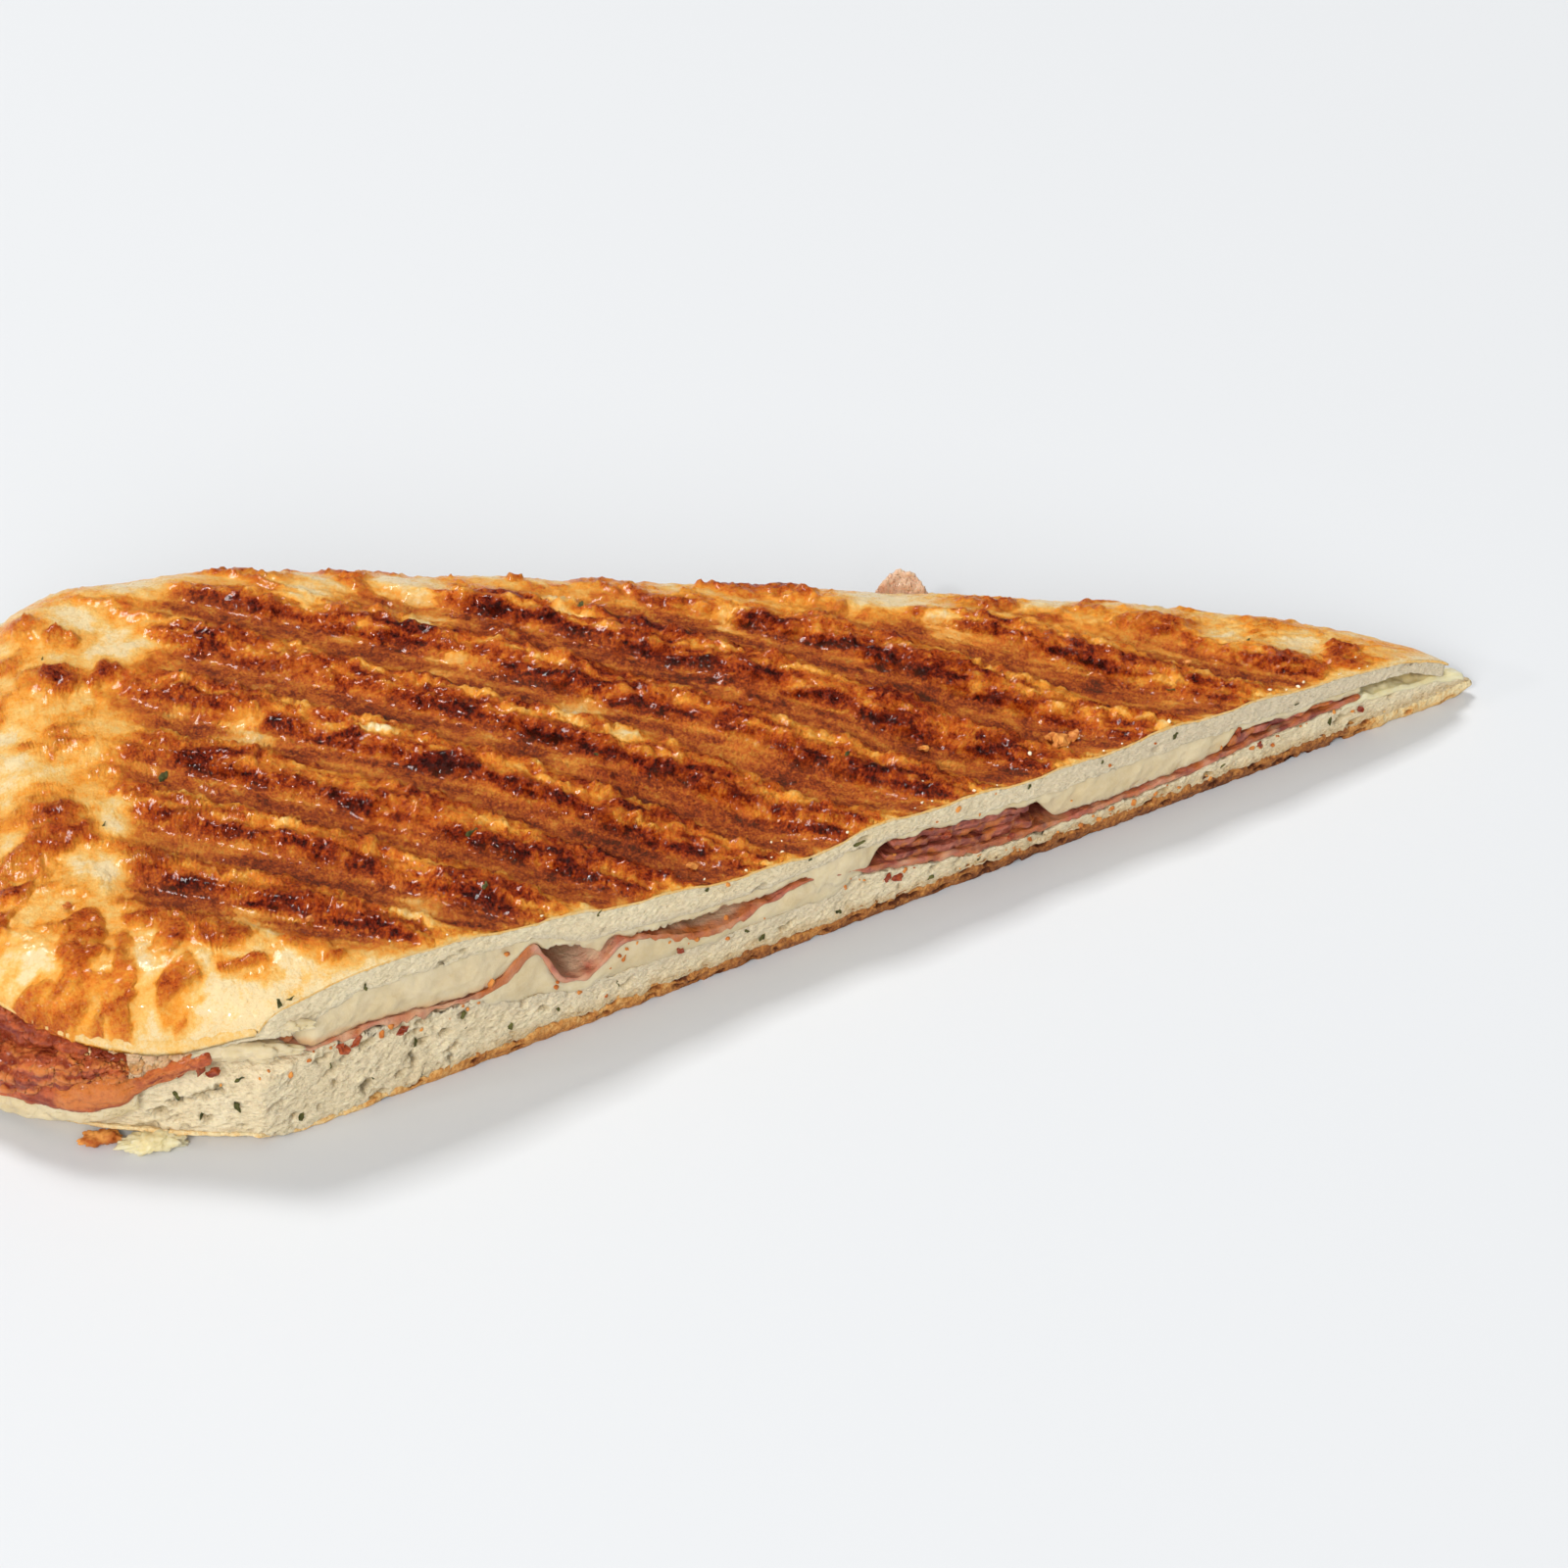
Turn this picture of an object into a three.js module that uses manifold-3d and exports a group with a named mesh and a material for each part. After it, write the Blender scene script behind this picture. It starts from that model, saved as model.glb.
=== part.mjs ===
// A pressed, griddled flatbread sandwich with cheese and thin cured ham, cut on the diagonal.
// Millimetres, +Z up. +X runs along the long uncut edge towards the sharp tip and +Y from the
// knife cut to that edge. The origin lies under the middle of the sandwich, on its foot.
import * as THREE from "three";
import { mergeVertices } from "three/addons/utils/BufferGeometryUtils.js";
import Module from "manifold-3d";

// ---- Driving dimensions ----

// Each slice is a rounded rectangle (a superellipse) before the cut.
const CORNER_POWER = 6;
const TOP_SLICE = { x: 1.5, y: -0.3, halfLength: 105, halfWidth: 49.5 };
const BOTTOM_SLICE = { x: 5.3, y: -0.3, halfLength: 109, halfWidth: 49.5 };

// The knife cut is an upright plane, CUT_OFFSET from the origin along its inward normal.
const CUT_ANGLE = THREE.MathUtils.degToRad(28.9);
const CUT_OFFSET = -12;

// Thickness of the closed sandwich away from the cut, from the sharp tip to the blunt end.
const TIP_X = 101;
const TAPER_LENGTH = 166;
const TIP_THICKNESS = 7.5;
const FULL_THICKNESS = 23;

// Heights along the cut, as [distance along it, height].
const CROWN_AT_CUT = [
  [-86, 25.2], [-64, 23.2], [-44, 20.9], [-18, 16.7], [0, 14.9],
  [12, 15.7], [40, 13.8], [60, 13.8], [84, 12], [106, 9.2],
];
const ROOF_AT_CUT = [
  [-86, 20.9], [-64, 19.2], [-41, 17.6], [-33, 14.4], [-10, 11.9],
  [14, 12.5], [38, 10.2], [60, 9.9], [84, 8.7], [106, 7.4],
];
const HAM_AT_CUT = [
  [-86, 13.8], [-64, 13.2], [-50, 11.7], [-45, 12.3], [-40.5, 15.6], [-36.5, 9.2], [-32, 8.4],
  [-27, 11.6], [-19, 9.2], [-13, 7.8], [-5, 9.5], [2, 10.2], [16, 7.2], [30, 4.9], [61, 4.7],
  [72, 5.9], [92, 6.6], [110, 4.4],
];
const LOWER_CHEESE_FLOOR = [[-50, 10.2], [-34, 6.9], [-15, 6.2], [8, 6.4]];
// Depth behind the cut over which its heights give way to those of the closed sandwich.
const CUT_INFLUENCE = [3, 30];

// Rooms between the ham slice and the cheese over it, as stretches along the cut with their
// depth behind it: the open hollow, the folded stack and the end wedge.
const ROOMS = [
  { from: -37, to: -8, ramp: 4, depth: [9, 20] },
  { from: 13, to: 37, ramp: 4, depth: [30, 42] },
  { from: 70, to: 89, ramp: 3, depth: [16, 22] },
];
// Shares of the same room kept for a second slice of ham: at the blunt end of the cut, and
// behind the cut in the blunt half.
const BLUNT_ROOM_AT_CUT = { share: 0.45, s: [-54, -47] };
const BLUNT_ROOM_BEHIND = { share: 0.35, x: [-34, -22] };
// The stretch with a second cheese under the ham, and the thickness of that cheese.
const UNDER_ROOM = { from: -46, to: 5, ramp: 4, depth: [46, 52] };
const UNDER_CHEESE_THICKNESS = 1.6;

// Ribs of the griddle: parallel pressed bands across the crown, between glossy ridges.
const GROOVE_ANGLE = THREE.MathUtils.degToRad(-20);
const GROOVE_PITCH = 11.7;
const GROOVE_PHASE = 6.4;
const GROOVE_WIDTH = 5.6;
const GROOVE_DEPTH = 1.5;
const GROOVE_MARGIN = 13;
const RIDGE_SWELL = 0.25;
const LUMP_HEIGHT = 0.45;

const EDGE_RADIUS = 12;
const MOUTH_RADIUS = 8;
const BOTTOM_EDGE_RADIUS = 7;
const SLICE_LIP = 1.2;
const FOOT_ROUND = 4;
const FOOT_RISE = 1.5;

// Brings the middle of the whole piece, its flaps and scraps included, over the origin.
const CENTRING = [0.8, -0.6, 0];

const GAP = 0.3;
const HAM_THICKNESS = 1.1;
const HAM_HEIGHT_SHARE = 0.52;
const STEEPEST_HAM = 1.8;
const CHEESE_FILM = 0.7;
const CHEESE_THICKNESS = 3.1;
const CHEESE_THINS_AT = [55, 95];
const TIP_FILM = 0.8;
const TIP_FILM_END = 108;
const TIP_FILM_DEPTH = 9;
const FILLING_INSET = 2.6;
const FILLING_END = 91;
const THINNEST = 0.05;

// The mouth between the slices at the uncut outline: heights of its lips as shares of the
// closed thickness and of the floor behind, where it is closed and where it gapes.
const UPPER_LIP = [0.5, 0.57];
const LOWER_LIP = [0.62, 0.28];
// Where it gapes, at the two blunt corners, as [x, y, reach, opening].
const GAPES = [
  [-90, -46, 24, 1],
  [-102, 38, 16, 0.5],
];
const GAPE_INSET = 6.5;

// ---- Small helpers ----

const clamp01 = (t) => Math.min(1, Math.max(0, t));
const mix = (a, b, t) => a + (b - a) * t;
const smooth = (a, b, x) => {
  const t = clamp01((x - a) / (b - a));
  return t * t * (3 - 2 * t);
};
const plateau = (x, from, to, ramp) =>
  smooth(from - ramp, from, x) * (1 - smooth(to, to + ramp, x));
const quarterRound = (t) => Math.sqrt(1 - (1 - clamp01(t)) ** 2);

// A smooth curve through [position, value] stations, level outside them.
function through(stations, x) {
  const last = stations.length - 1;
  if (x <= stations[0][0]) return stations[0][1];
  if (x >= stations[last][0]) return stations[last][1];
  let i = 0;
  while (x > stations[i + 1][0]) i += 1;
  const slope = (k) => {
    const a = stations[Math.max(0, k - 1)];
    const b = stations[Math.min(last, k + 1)];
    return (b[1] - a[1]) / (b[0] - a[0]);
  };
  const [x0, y0] = stations[i];
  const [x1, y1] = stations[i + 1];
  const h = x1 - x0;
  const t = (x - x0) / h;
  const rise = t * t * (3 - 2 * t);
  const lead = t * (1 - t) * (1 - t) * h * slope(i);
  const trail = t * t * (t - 1) * h * slope(i + 1);
  return y0 + (y1 - y0) * rise + lead + trail;
}

// ---- Plan: the outline, the cut and distances from them ----

const alongCut = (x, y) => x * Math.cos(CUT_ANGLE) + y * Math.sin(CUT_ANGLE);
const insideCut = (x, y) => y * Math.cos(CUT_ANGLE) - x * Math.sin(CUT_ANGLE) - CUT_OFFSET;

// Distance inwards from a slice's uncut outline, exact near the outline.
function insideSlice(slice, x, y) {
  const u = Math.abs(x - slice.x) / slice.halfLength;
  const v = Math.abs(y - slice.y) / slice.halfWidth;
  const r = Math.max(0.3, (u ** CORNER_POWER + v ** CORNER_POWER) ** (1 / CORNER_POWER));
  const gradient = Math.hypot(
    (u / r) ** (CORNER_POWER - 1) / slice.halfLength,
    (v / r) ** (CORNER_POWER - 1) / slice.halfWidth,
  );
  return (1 - r) / gradient;
}

function gape(x, y) {
  return GAPES.reduce(
    (most, [gx, gy, reach, opening]) =>
      Math.max(most, opening * Math.exp(-(((x - gx) ** 2 + (y - gy) ** 2) / reach ** 2))),
    0,
  );
}

// ---- Heights ----

const atCut = (w) => 1 - smooth(CUT_INFLUENCE[0], CUT_INFLUENCE[1], w);

function closedThickness(x) {
  const taper = clamp01((TIP_X - x) / TAPER_LENGTH);
  return mix(TIP_THICKNESS, FULL_THICKNESS, Math.sqrt(taper));
}

// How far the ham rises and dips over the bread, away from the cut.
const hamWave = (x, y) =>
  0.45 * Math.sin(x / 9 + y / 14) + 0.35 * Math.sin(y / 7 - x / 23);

const roomAt = (s, w, { from, to, ramp, depth }) =>
  plateau(s, from, to, ramp) * (1 - smooth(depth[0], depth[1], w));

// Heights of every layer at a point, before the edges are drawn together.
function openLevels(x, y) {
  const s = alongCut(x, y);
  const w = insideCut(x, y);
  const near = atCut(w);
  const thickness = closedThickness(x);
  const crown = mix(thickness, through(CROWN_AT_CUT, s), near);
  const hamBehind = HAM_HEIGHT_SHARE * thickness + hamWave(x, y);
  const hamMid = mix(hamBehind, through(HAM_AT_CUT, s), near);
  const hamSlope = (through(HAM_AT_CUT, s + 0.5) - through(HAM_AT_CUT, s - 0.5)) * near;
  const hamHalf = (HAM_THICKNESS / 2) * Math.min(STEEPEST_HAM, Math.hypot(1, hamSlope));
  const hamTop = hamMid + hamHalf;
  const hamBottom = hamMid - hamHalf;

  const cheese = mix(CHEESE_THICKNESS, CHEESE_FILM + GAP, smooth(...CHEESE_THINS_AT, x));
  const roofInside = hamTop + cheese + 2 * GAP;
  const roof = Math.max(
    mix(roofInside, through(ROOF_AT_CUT, s), near),
    hamTop + CHEESE_FILM + 2 * GAP + THINNEST,
  );

  const blunt =
    BLUNT_ROOM_AT_CUT.share * (1 - smooth(...BLUNT_ROOM_AT_CUT.s, s)) +
    BLUNT_ROOM_BEHIND.share * (1 - smooth(...BLUNT_ROOM_BEHIND.x, x)) * (1 - near);
  const room = Math.min(1, Math.max(blunt, ...ROOMS.map((place) => roomAt(s, w, place))));
  const cheeseBottom = mix(hamTop + GAP, roof - GAP - CHEESE_FILM, room);

  const floorBehind = hamBottom - UNDER_CHEESE_THICKNESS - 2 * GAP;
  const floorWithCheese = Math.min(
    mix(floorBehind, through(LOWER_CHEESE_FLOOR, s), near),
    hamBottom - CHEESE_FILM - 2 * GAP,
  );
  const floor = mix(hamBottom - GAP, floorWithCheese, roomAt(s, w, UNDER_ROOM));
  return { crown, roof, cheeseBottom, hamTop, hamBottom, floor, thickness };
}

// The same heights with the slices drawn together along the uncut edges.
function levels(x, y) {
  const open = openLevels(x, y);
  const dTop = insideSlice(TOP_SLICE, x, y);
  const dBottom = insideSlice(BOTTOM_SLICE, x, y);
  const gaping = gape(x, y);
  const roofEdge = open.thickness * mix(...UPPER_LIP, gaping);
  const floorEdge = open.floor * mix(...LOWER_LIP, gaping);
  const roof = mix(roofEdge, open.roof, smooth(0, MOUTH_RADIUS, dTop));
  const floor = mix(floorEdge, open.floor, quarterRound(dBottom / BOTTOM_EDGE_RADIUS));
  const squeeze = (roof - floor) / (open.roof - open.floor);
  const drawn = (z) => floor + (z - open.floor) * squeeze;
  return {
    crown: open.crown,
    roofEdge,
    roof,
    cheeseBottom: drawn(open.cheeseBottom),
    hamTop: drawn(open.hamTop),
    hamBottom: drawn(open.hamBottom),
    floor,
    gap: GAP * Math.min(1, squeeze),
  };
}

// Pressed bands, ridges and the lumps of the blistered rim.
function crustRelief(x, y) {
  const across = y * Math.cos(GROOVE_ANGLE) - x * Math.sin(GROOVE_ANGLE);
  const phase = (across - GROOVE_PHASE) / GROOVE_PITCH;
  const offset = Math.abs(phase - Math.round(phase)) * GROOVE_PITCH;
  const band = 1 - smooth(GROOVE_WIDTH / 2 - 1, GROOVE_WIDTH / 2 + 1.6, offset);
  const pressed = smooth(GROOVE_MARGIN - 5, GROOVE_MARGIN + 3, insideSlice(TOP_SLICE, x, y));
  const blister =
    Math.sin(x / 3.4 + 1.7 * Math.sin(y / 6.1)) * Math.sin(y / 4.3 + 1.3 * Math.sin(x / 7.7));
  return LUMP_HEIGHT * blister + pressed * (RIDGE_SWELL - GROOVE_DEPTH * band);
}

function crownHeight(x, y) {
  const { crown, roofEdge } = levels(x, y);
  const rim = roofEdge + SLICE_LIP;
  const round = quarterRound(insideSlice(TOP_SLICE, x, y) / EDGE_RADIUS);
  return rim + (crown + crustRelief(x, y) - rim) * round;
}

function footHeight(x, y) {
  const t = clamp01(insideSlice(BOTTOM_SLICE, x, y) / FOOT_ROUND);
  return FOOT_RISE * (1 - t) ** 2;
}

// ---- Meshes ----

// One closed body between an upper and a lower grid of points that share their rows and columns.
function closedGrid(upper, lower) {
  const rows = upper.length;
  const columns = upper[0].length;
  const positions = [...upper.flat(), ...lower.flat()].flat();
  const half = rows * columns;
  const at = (i, j) => i * columns + j;
  const index = [];
  const quad = (a, b, c, d) => index.push(a, b, c, a, c, d);
  for (let i = 0; i + 1 < rows; i += 1) {
    for (let j = 0; j + 1 < columns; j += 1) {
      quad(at(i, j), at(i + 1, j), at(i + 1, j + 1), at(i, j + 1));
      quad(half + at(i, j), half + at(i, j + 1), half + at(i + 1, j + 1), half + at(i + 1, j));
    }
    quad(at(i + 1, 0), at(i, 0), half + at(i, 0), half + at(i + 1, 0));
    const j = columns - 1;
    quad(at(i, j), at(i + 1, j), half + at(i + 1, j), half + at(i, j));
  }
  for (let j = 0; j + 1 < columns; j += 1) {
    quad(at(0, j), at(0, j + 1), half + at(0, j + 1), half + at(0, j));
    const i = rows - 1;
    quad(at(i, j + 1), at(i, j), half + at(i, j), half + at(i, j + 1));
  }
  const geometry = new THREE.BufferGeometry();
  geometry.setAttribute("position", new THREE.Float32BufferAttribute(positions, 3));
  geometry.setIndex(index);
  return facingOut(geometry);
}

// Turns every face round if the body's signed volume is negative.
function facingOut(geometry) {
  const p = geometry.attributes.position;
  const index = geometry.index.array;
  const [a, b, c] = [new THREE.Vector3(), new THREE.Vector3(), new THREE.Vector3()];
  let volume = 0;
  for (let i = 0; i < index.length; i += 3) {
    a.fromBufferAttribute(p, index[i]);
    b.fromBufferAttribute(p, index[i + 1]);
    c.fromBufferAttribute(p, index[i + 2]);
    volume += a.dot(b.cross(c)) / 6;
  }
  if (volume < 0) {
    for (let i = 0; i < index.length; i += 3) {
      [index[i + 1], index[i + 2]] = [index[i + 2], index[i + 1]];
    }
  }
  return geometry;
}

// Plan points of a region on rows across an axis: each row is the chord where inside(x, y) > 0.
// Rows and columns crowd together towards the region's own edges.
function planGrid(inside, axisAngle, rowPositions, columns) {
  const [ux, uy] = [Math.cos(axisAngle), Math.sin(axisAngle)];
  const place = (row, along) => [row * ux - along * uy, row * uy + along * ux];
  const depth = (row, along) => inside(...place(row, along));
  const REACH = 130;
  const STEP = 0.5;
  const CROWDING = 0.72;
  const HALVINGS = 24;
  const edgeBetween = (row, outer, inner) => {
    let [a, b] = [outer, inner];
    for (let k = 0; k < HALVINGS; k += 1) {
      const middle = (a + b) / 2;
      if (depth(row, middle) > 0) b = middle;
      else a = middle;
    }
    return b;
  };
  const chord = (row) => {
    let [first, last] = [null, null];
    for (let along = -REACH; along <= REACH; along += STEP) {
      if (depth(row, along) > 0) {
        if (first === null) first = along;
        last = along;
      }
    }
    if (first === null) return null;
    return [edgeBetween(row, first - STEP, first), edgeBetween(row, last + STEP, last)];
  };
  const grid = [];
  for (const row of rowPositions) {
    const ends = chord(row);
    if (ends === null) continue;
    const points = [];
    for (let j = 0; j < columns; j += 1) {
      const t = j / (columns - 1);
      const eased = t - CROWDING * Math.sin(2 * Math.PI * t) / (2 * Math.PI);
      points.push(place(row, mix(ends[0], ends[1], eased)));
    }
    grid.push(points);
  }
  return grid;
}

function slab(grid, top, bottom) {
  const lift = (height) => grid.map((row) => row.map(([x, y]) => [x, y, height(x, y)]));
  return closedGrid(lift(top), lift(bottom));
}

// Row positions with one step width in each stretch, given as [from, to, step].
function rowsIn(stretches) {
  return stretches.flatMap(([from, to, step]) => {
    const count = Math.round((to - from) / step);
    return Array.from({ length: count }, (_, i) => mix(from, to, i / count));
  });
}

const OUTLINE_ROWS = rowsIn([
  [-105.7, -104, 0.8], [-104, -96, 2], [-96, -78, 4.5], [-78, -66, 2.4], [-66, 92, 6.5],
  [92, 111.2, 1.9], [111.2, 111.3, 0.1],
]);
const CROWN_ROWS = rowsIn([
  [-73.2, -71, 0.8], [-71, 70, 2.5], [70, 73.4, 1.1], [73.4, 73.6, 0.2],
]);
const STACK_ROWS = rowsIn([
  [-107.3, -104, 1.6], [-104, -50, 6], [-50, -24, 1.85], [-24, 14, 4.7], [14, 108, 6.3],
  [108, 114, 3], [114, 114.1, 0.1],
]);

// A ribbon or flap: a grid of mid-surface points thickened along its own normals.
function sheet(rows, columns, middle, thickness) {
  const STEP = 1e-3;
  const upper = [];
  const lower = [];
  for (let i = 0; i < rows; i += 1) {
    upper.push([]);
    lower.push([]);
    for (let j = 0; j < columns; j += 1) {
      const [u, v] = [i / (rows - 1), j / (columns - 1)];
      const point = middle(u, v);
      const du = middle(u + STEP, v).sub(middle(u - STEP, v));
      const dv = middle(u, v + STEP).sub(middle(u, v - STEP));
      const normal = du.cross(dv).normalize();
      const half = thickness(u, v) / 2;
      upper[i].push(point.clone().addScaledVector(normal, half).toArray());
      lower[i].push(point.clone().addScaledVector(normal, -half).toArray());
    }
  }
  return closedGrid(upper, lower);
}

// A rounded scrap: a ball drawn out to three radii and made uneven.
function lump(centre, radii, turn, unevenness) {
  const ball = new THREE.IcosahedronGeometry(1, 2);
  ball.deleteAttribute("normal");
  ball.deleteAttribute("uv");
  const geometry = mergeVertices(ball, 1e-4);
  const p = geometry.attributes.position;
  const v = new THREE.Vector3();
  for (let i = 0; i < p.count; i += 1) {
    v.fromBufferAttribute(p, i);
    const wobble = Math.sin(5 * v.x + turn) * Math.sin(4 * v.y + 2 * turn) + 0.5 * Math.sin(7 * v.z);
    v.multiplyScalar(1 + unevenness * wobble).multiply(radii);
    v.applyAxisAngle(new THREE.Vector3(0, 0, 1), turn).add(centre);
    p.setXYZ(i, v.x, v.y, v.z);
  }
  return geometry;
}

// ---- Joining and cutting ----

const wasm = await Module();
wasm.setup();

function asSolid(geometry) {
  return new wasm.Manifold(
    new wasm.Mesh({
      numProp: 3,
      vertProperties: new Float32Array(geometry.attributes.position.array),
      triVerts: new Uint32Array(geometry.index.array),
    }),
  );
}

function asGeometry(solid) {
  const { vertProperties, triVerts } = solid.getMesh();
  const geometry = new THREE.BufferGeometry();
  geometry.setAttribute("position", new THREE.BufferAttribute(vertProperties, 3));
  geometry.setIndex(new THREE.BufferAttribute(triVerts, 1));
  return geometry;
}

// The largest body of a solid that a cut has parted, without its offcuts.
function largest(solid) {
  return solid.decompose().reduce((a, b) => (a.volume() > b.volume() ? a : b));
}

// ---- The pieces ----

const inTopSlice = (x, y) => Math.min(insideSlice(TOP_SLICE, x, y), insideCut(x, y));
const inBottomSlice = (x, y) => Math.min(insideSlice(BOTTOM_SLICE, x, y), insideCut(x, y));

// The heights of all layers on one plan grid, a little wider than the slices, so that the facing
// sides of neighbouring layers have the same facets and keep their gap everywhere.
const PAST_EDGE = 1.6;
const STACK_GRID = planGrid(
  (x, y) => inBottomSlice(x, y) + PAST_EDGE,
  CUT_ANGLE,
  STACK_ROWS,
  11,
);
const STACK_LEVELS = STACK_GRID.map((row) => row.map(([x, y]) => levels(x, y)));
const SKY = 40;
const UNDERGROUND = -5;

function layer(top, bottom) {
  const lift = (height) =>
    STACK_GRID.map((row, i) => row.map(([x, y], j) => [x, y, height(STACK_LEVELS[i][j])]));
  return asSolid(closedGrid(lift(top), lift(bottom)));
}

function prism(inside, rows = OUTLINE_ROWS) {
  return asSolid(slab(planGrid(inside, CUT_ANGLE, rows, 2), () => SKY, () => UNDERGROUND));
}

// A filling keeps back from the uncut outline, further where the mouth gapes, and from the cut.
function inFilling(x, y, cutInset) {
  const s = alongCut(x, y);
  const back = FILLING_INSET + GAPE_INSET * gape(x, y) + 0.5 * Math.sin(s / 4.1);
  return Math.min(
    insideSlice(TOP_SLICE, x, y) - back,
    insideCut(x, y) - cutInset(s),
    FILLING_END - s,
  );
}

// The space of the slices and fillings with their gap, which flaps and scraps keep out of.
const TAKEN_SPACE = [
  layer(() => SKY, (level) => level.roof - level.gap)
    .intersect(prism((x, y) => inTopSlice(x, y) + GAP)),
  layer((level) => level.floor + level.gap, () => UNDERGROUND)
    .intersect(prism((x, y) => inBottomSlice(x, y) + GAP)),
  prism((x, y) => inFilling(x, y, () => 0) + GAP, STACK_ROWS),
].reduce((all, solid) => all.add(solid));

function topBread() {
  const crownGrid = planGrid(inTopSlice, GROOVE_ANGLE + Math.PI / 2, CROWN_ROWS, 19);
  const underCrown = asSolid(slab(crownGrid, crownHeight, () => 0));
  const overRoof = layer(() => SKY, (level) => level.roof);
  return underCrown.intersect(overRoof);
}

function bottomBread() {
  const footGrid = planGrid(inBottomSlice, CUT_ANGLE, OUTLINE_ROWS, 9);
  const overFoot = asSolid(slab(footGrid, () => SKY, footHeight));
  const underFloor = layer((level) => level.floor, () => UNDERGROUND);
  return overFoot.intersect(underFloor);
}

function upperCheese() {
  const hollow = ROOMS[0];
  const drawnBack = (s) => 3 * plateau(s, hollow.from + 4, hollow.to - 4, hollow.ramp);
  const cutInset = (s) => 0.5 + 0.3 * Math.sin(s / 2.9) + drawnBack(s);
  const between = layer(
    (level) => level.roof - level.gap,
    (level) => level.cheeseBottom,
  );
  return between.intersect(prism((x, y) => inFilling(x, y, cutInset), STACK_ROWS));
}

function hamSlice() {
  const cutInset = (s) => 0.4 + 0.25 * Math.sin(s / 3.7);
  const between = layer(
    (level) => level.hamTop,
    (level) => level.hamBottom,
  );
  return between.intersect(prism((x, y) => inFilling(x, y, cutInset), STACK_ROWS));
}

function lowerCheese() {
  const depth = UNDER_ROOM.depth[0] - 2;
  const inside = (x, y) => Math.min(inFilling(x, y, () => 0.5), depth - insideCut(x, y));
  const between = layer(
    (level) => Math.max(level.hamBottom - level.gap, level.floor + level.gap + THINNEST),
    (level) => level.floor + level.gap,
  );
  return between.intersect(prism(inside, rowsIn([[UNDER_ROOM.from, UNDER_ROOM.to, 3]])));
}

// One leaf of ham in the room between the ham slice and the cheese: share is the part of that
// room it takes, from 0 at the ham to 1 at the cheese.
function leaf({ from, to, deep, cutInset, share }) {
  const inside = (x, y) => {
    const s = alongCut(x, y);
    const w = insideCut(x, y);
    const ragged = cutInset + 0.5 * Math.sin(s / 1.9 + share[0] * 9);
    return Math.min(inFilling(x, y, () => ragged), deep - w);
  };
  const at = (level, part, side) => {
    const room = level.cheeseBottom - level.hamTop - level.gap;
    return level.hamTop + level.gap / 2 + room * part + side * (level.gap / 2);
  };
  const between = layer(
    (level) => Math.max(at(level, share[1], -1), at(level, share[0], 1) + THINNEST),
    (level) => at(level, share[0], 1),
  );
  return between.intersect(prism(inside, rowsIn([[from, to + 0.01, 2.5]])));
}

// A point near the outline: the angle it is seen at from a hub, and its distance inwards.
function nearOutline(hub, degrees, inset, z) {
  const REACH = 60;
  const HALVINGS = 30;
  const angle = THREE.MathUtils.degToRad(degrees);
  const [cx, cy] = [Math.cos(angle), Math.sin(angle)];
  let [a, b] = [0, REACH];
  for (let k = 0; k < HALVINGS; k += 1) {
    const middle = (a + b) / 2;
    if (insideSlice(TOP_SLICE, hub[0] + cx * middle, hub[1] + cy * middle) > inset) a = middle;
    else b = middle;
  }
  return new THREE.Vector3(hub[0] + cx * a, hub[1] + cy * a, z);
}

// A flap that comes out of the mouth between the slices: it starts inside at one height, reaches
// past the outline at another, and keeps clear of the slices and of the fillings behind it.
function flap({ hub, from, to, inside, outside, zInside, zOutside, thickness }) {
  const RUFFLE = 0.5;
  const REACH_AT_ENDS = 3;
  const middle = (u, v) => {
    const ruffle = RUFFLE * Math.sin(11 * u + 2 * v) * v;
    const ends = Math.sin(Math.PI * clamp01(u)) ** 0.6;
    const reach = mix(inside, mix(inside - REACH_AT_ENDS, outside, ends), v) + ruffle;
    const z = mix(zInside, mix(zInside, zOutside, ends), v * v);
    return nearOutline(hub, mix(from, to, u), reach, z + 0.5 * ruffle);
  };
  return largest(asSolid(sheet(12, 5, middle, () => thickness)).subtract(TAKEN_SPACE));
}

// A scrap caught at the edge of the sandwich.
function scrap({ centre, radii, turn, unevenness }) {
  const shape = lump(new THREE.Vector3(...centre), new THREE.Vector3(...radii), turn, unevenness);
  return largest(asSolid(shape).subtract(TAKEN_SPACE));
}

// A film of melted cheese on the bottom slice that reaches past the top slice at the sharp tip.
function cheeseAtTip() {
  const inside = (x, y) => {
    const w = insideCut(x, y);
    return Math.min(insideSlice(BOTTOM_SLICE, x, y) + 0.2, w - 0.6, TIP_FILM_DEPTH - w);
  };
  const between = layer(
    (level) => level.floor + level.gap + TIP_FILM,
    (level) => level.floor + level.gap,
  );
  return between.intersect(prism(inside, rowsIn([[FILLING_END + 0.4, TIP_FILM_END, 1.8]])));
}

// ---- Finishes ----

const FINISHES = {
  crust: { color: 0xb4652a, roughness: 0.45 },
  bread: { color: 0xe9dfc0, roughness: 0.85 },
  cheese: { color: 0xeee6c4, roughness: 0.35 },
  ham: { color: 0x9c4a3c, roughness: 0.4 },
  fat: { color: 0xd9b79a, roughness: 0.4 },
};

function material(name) {
  return new THREE.MeshStandardMaterial({ ...FINISHES[name], metalness: 0 });
}

const sandwich = new THREE.Group();
sandwich.position.set(...CENTRING);

function add(name, solid, finish) {
  const mesh = new THREE.Mesh(asGeometry(solid), material(finish));
  mesh.name = name;
  sandwich.add(mesh);
}

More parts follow.
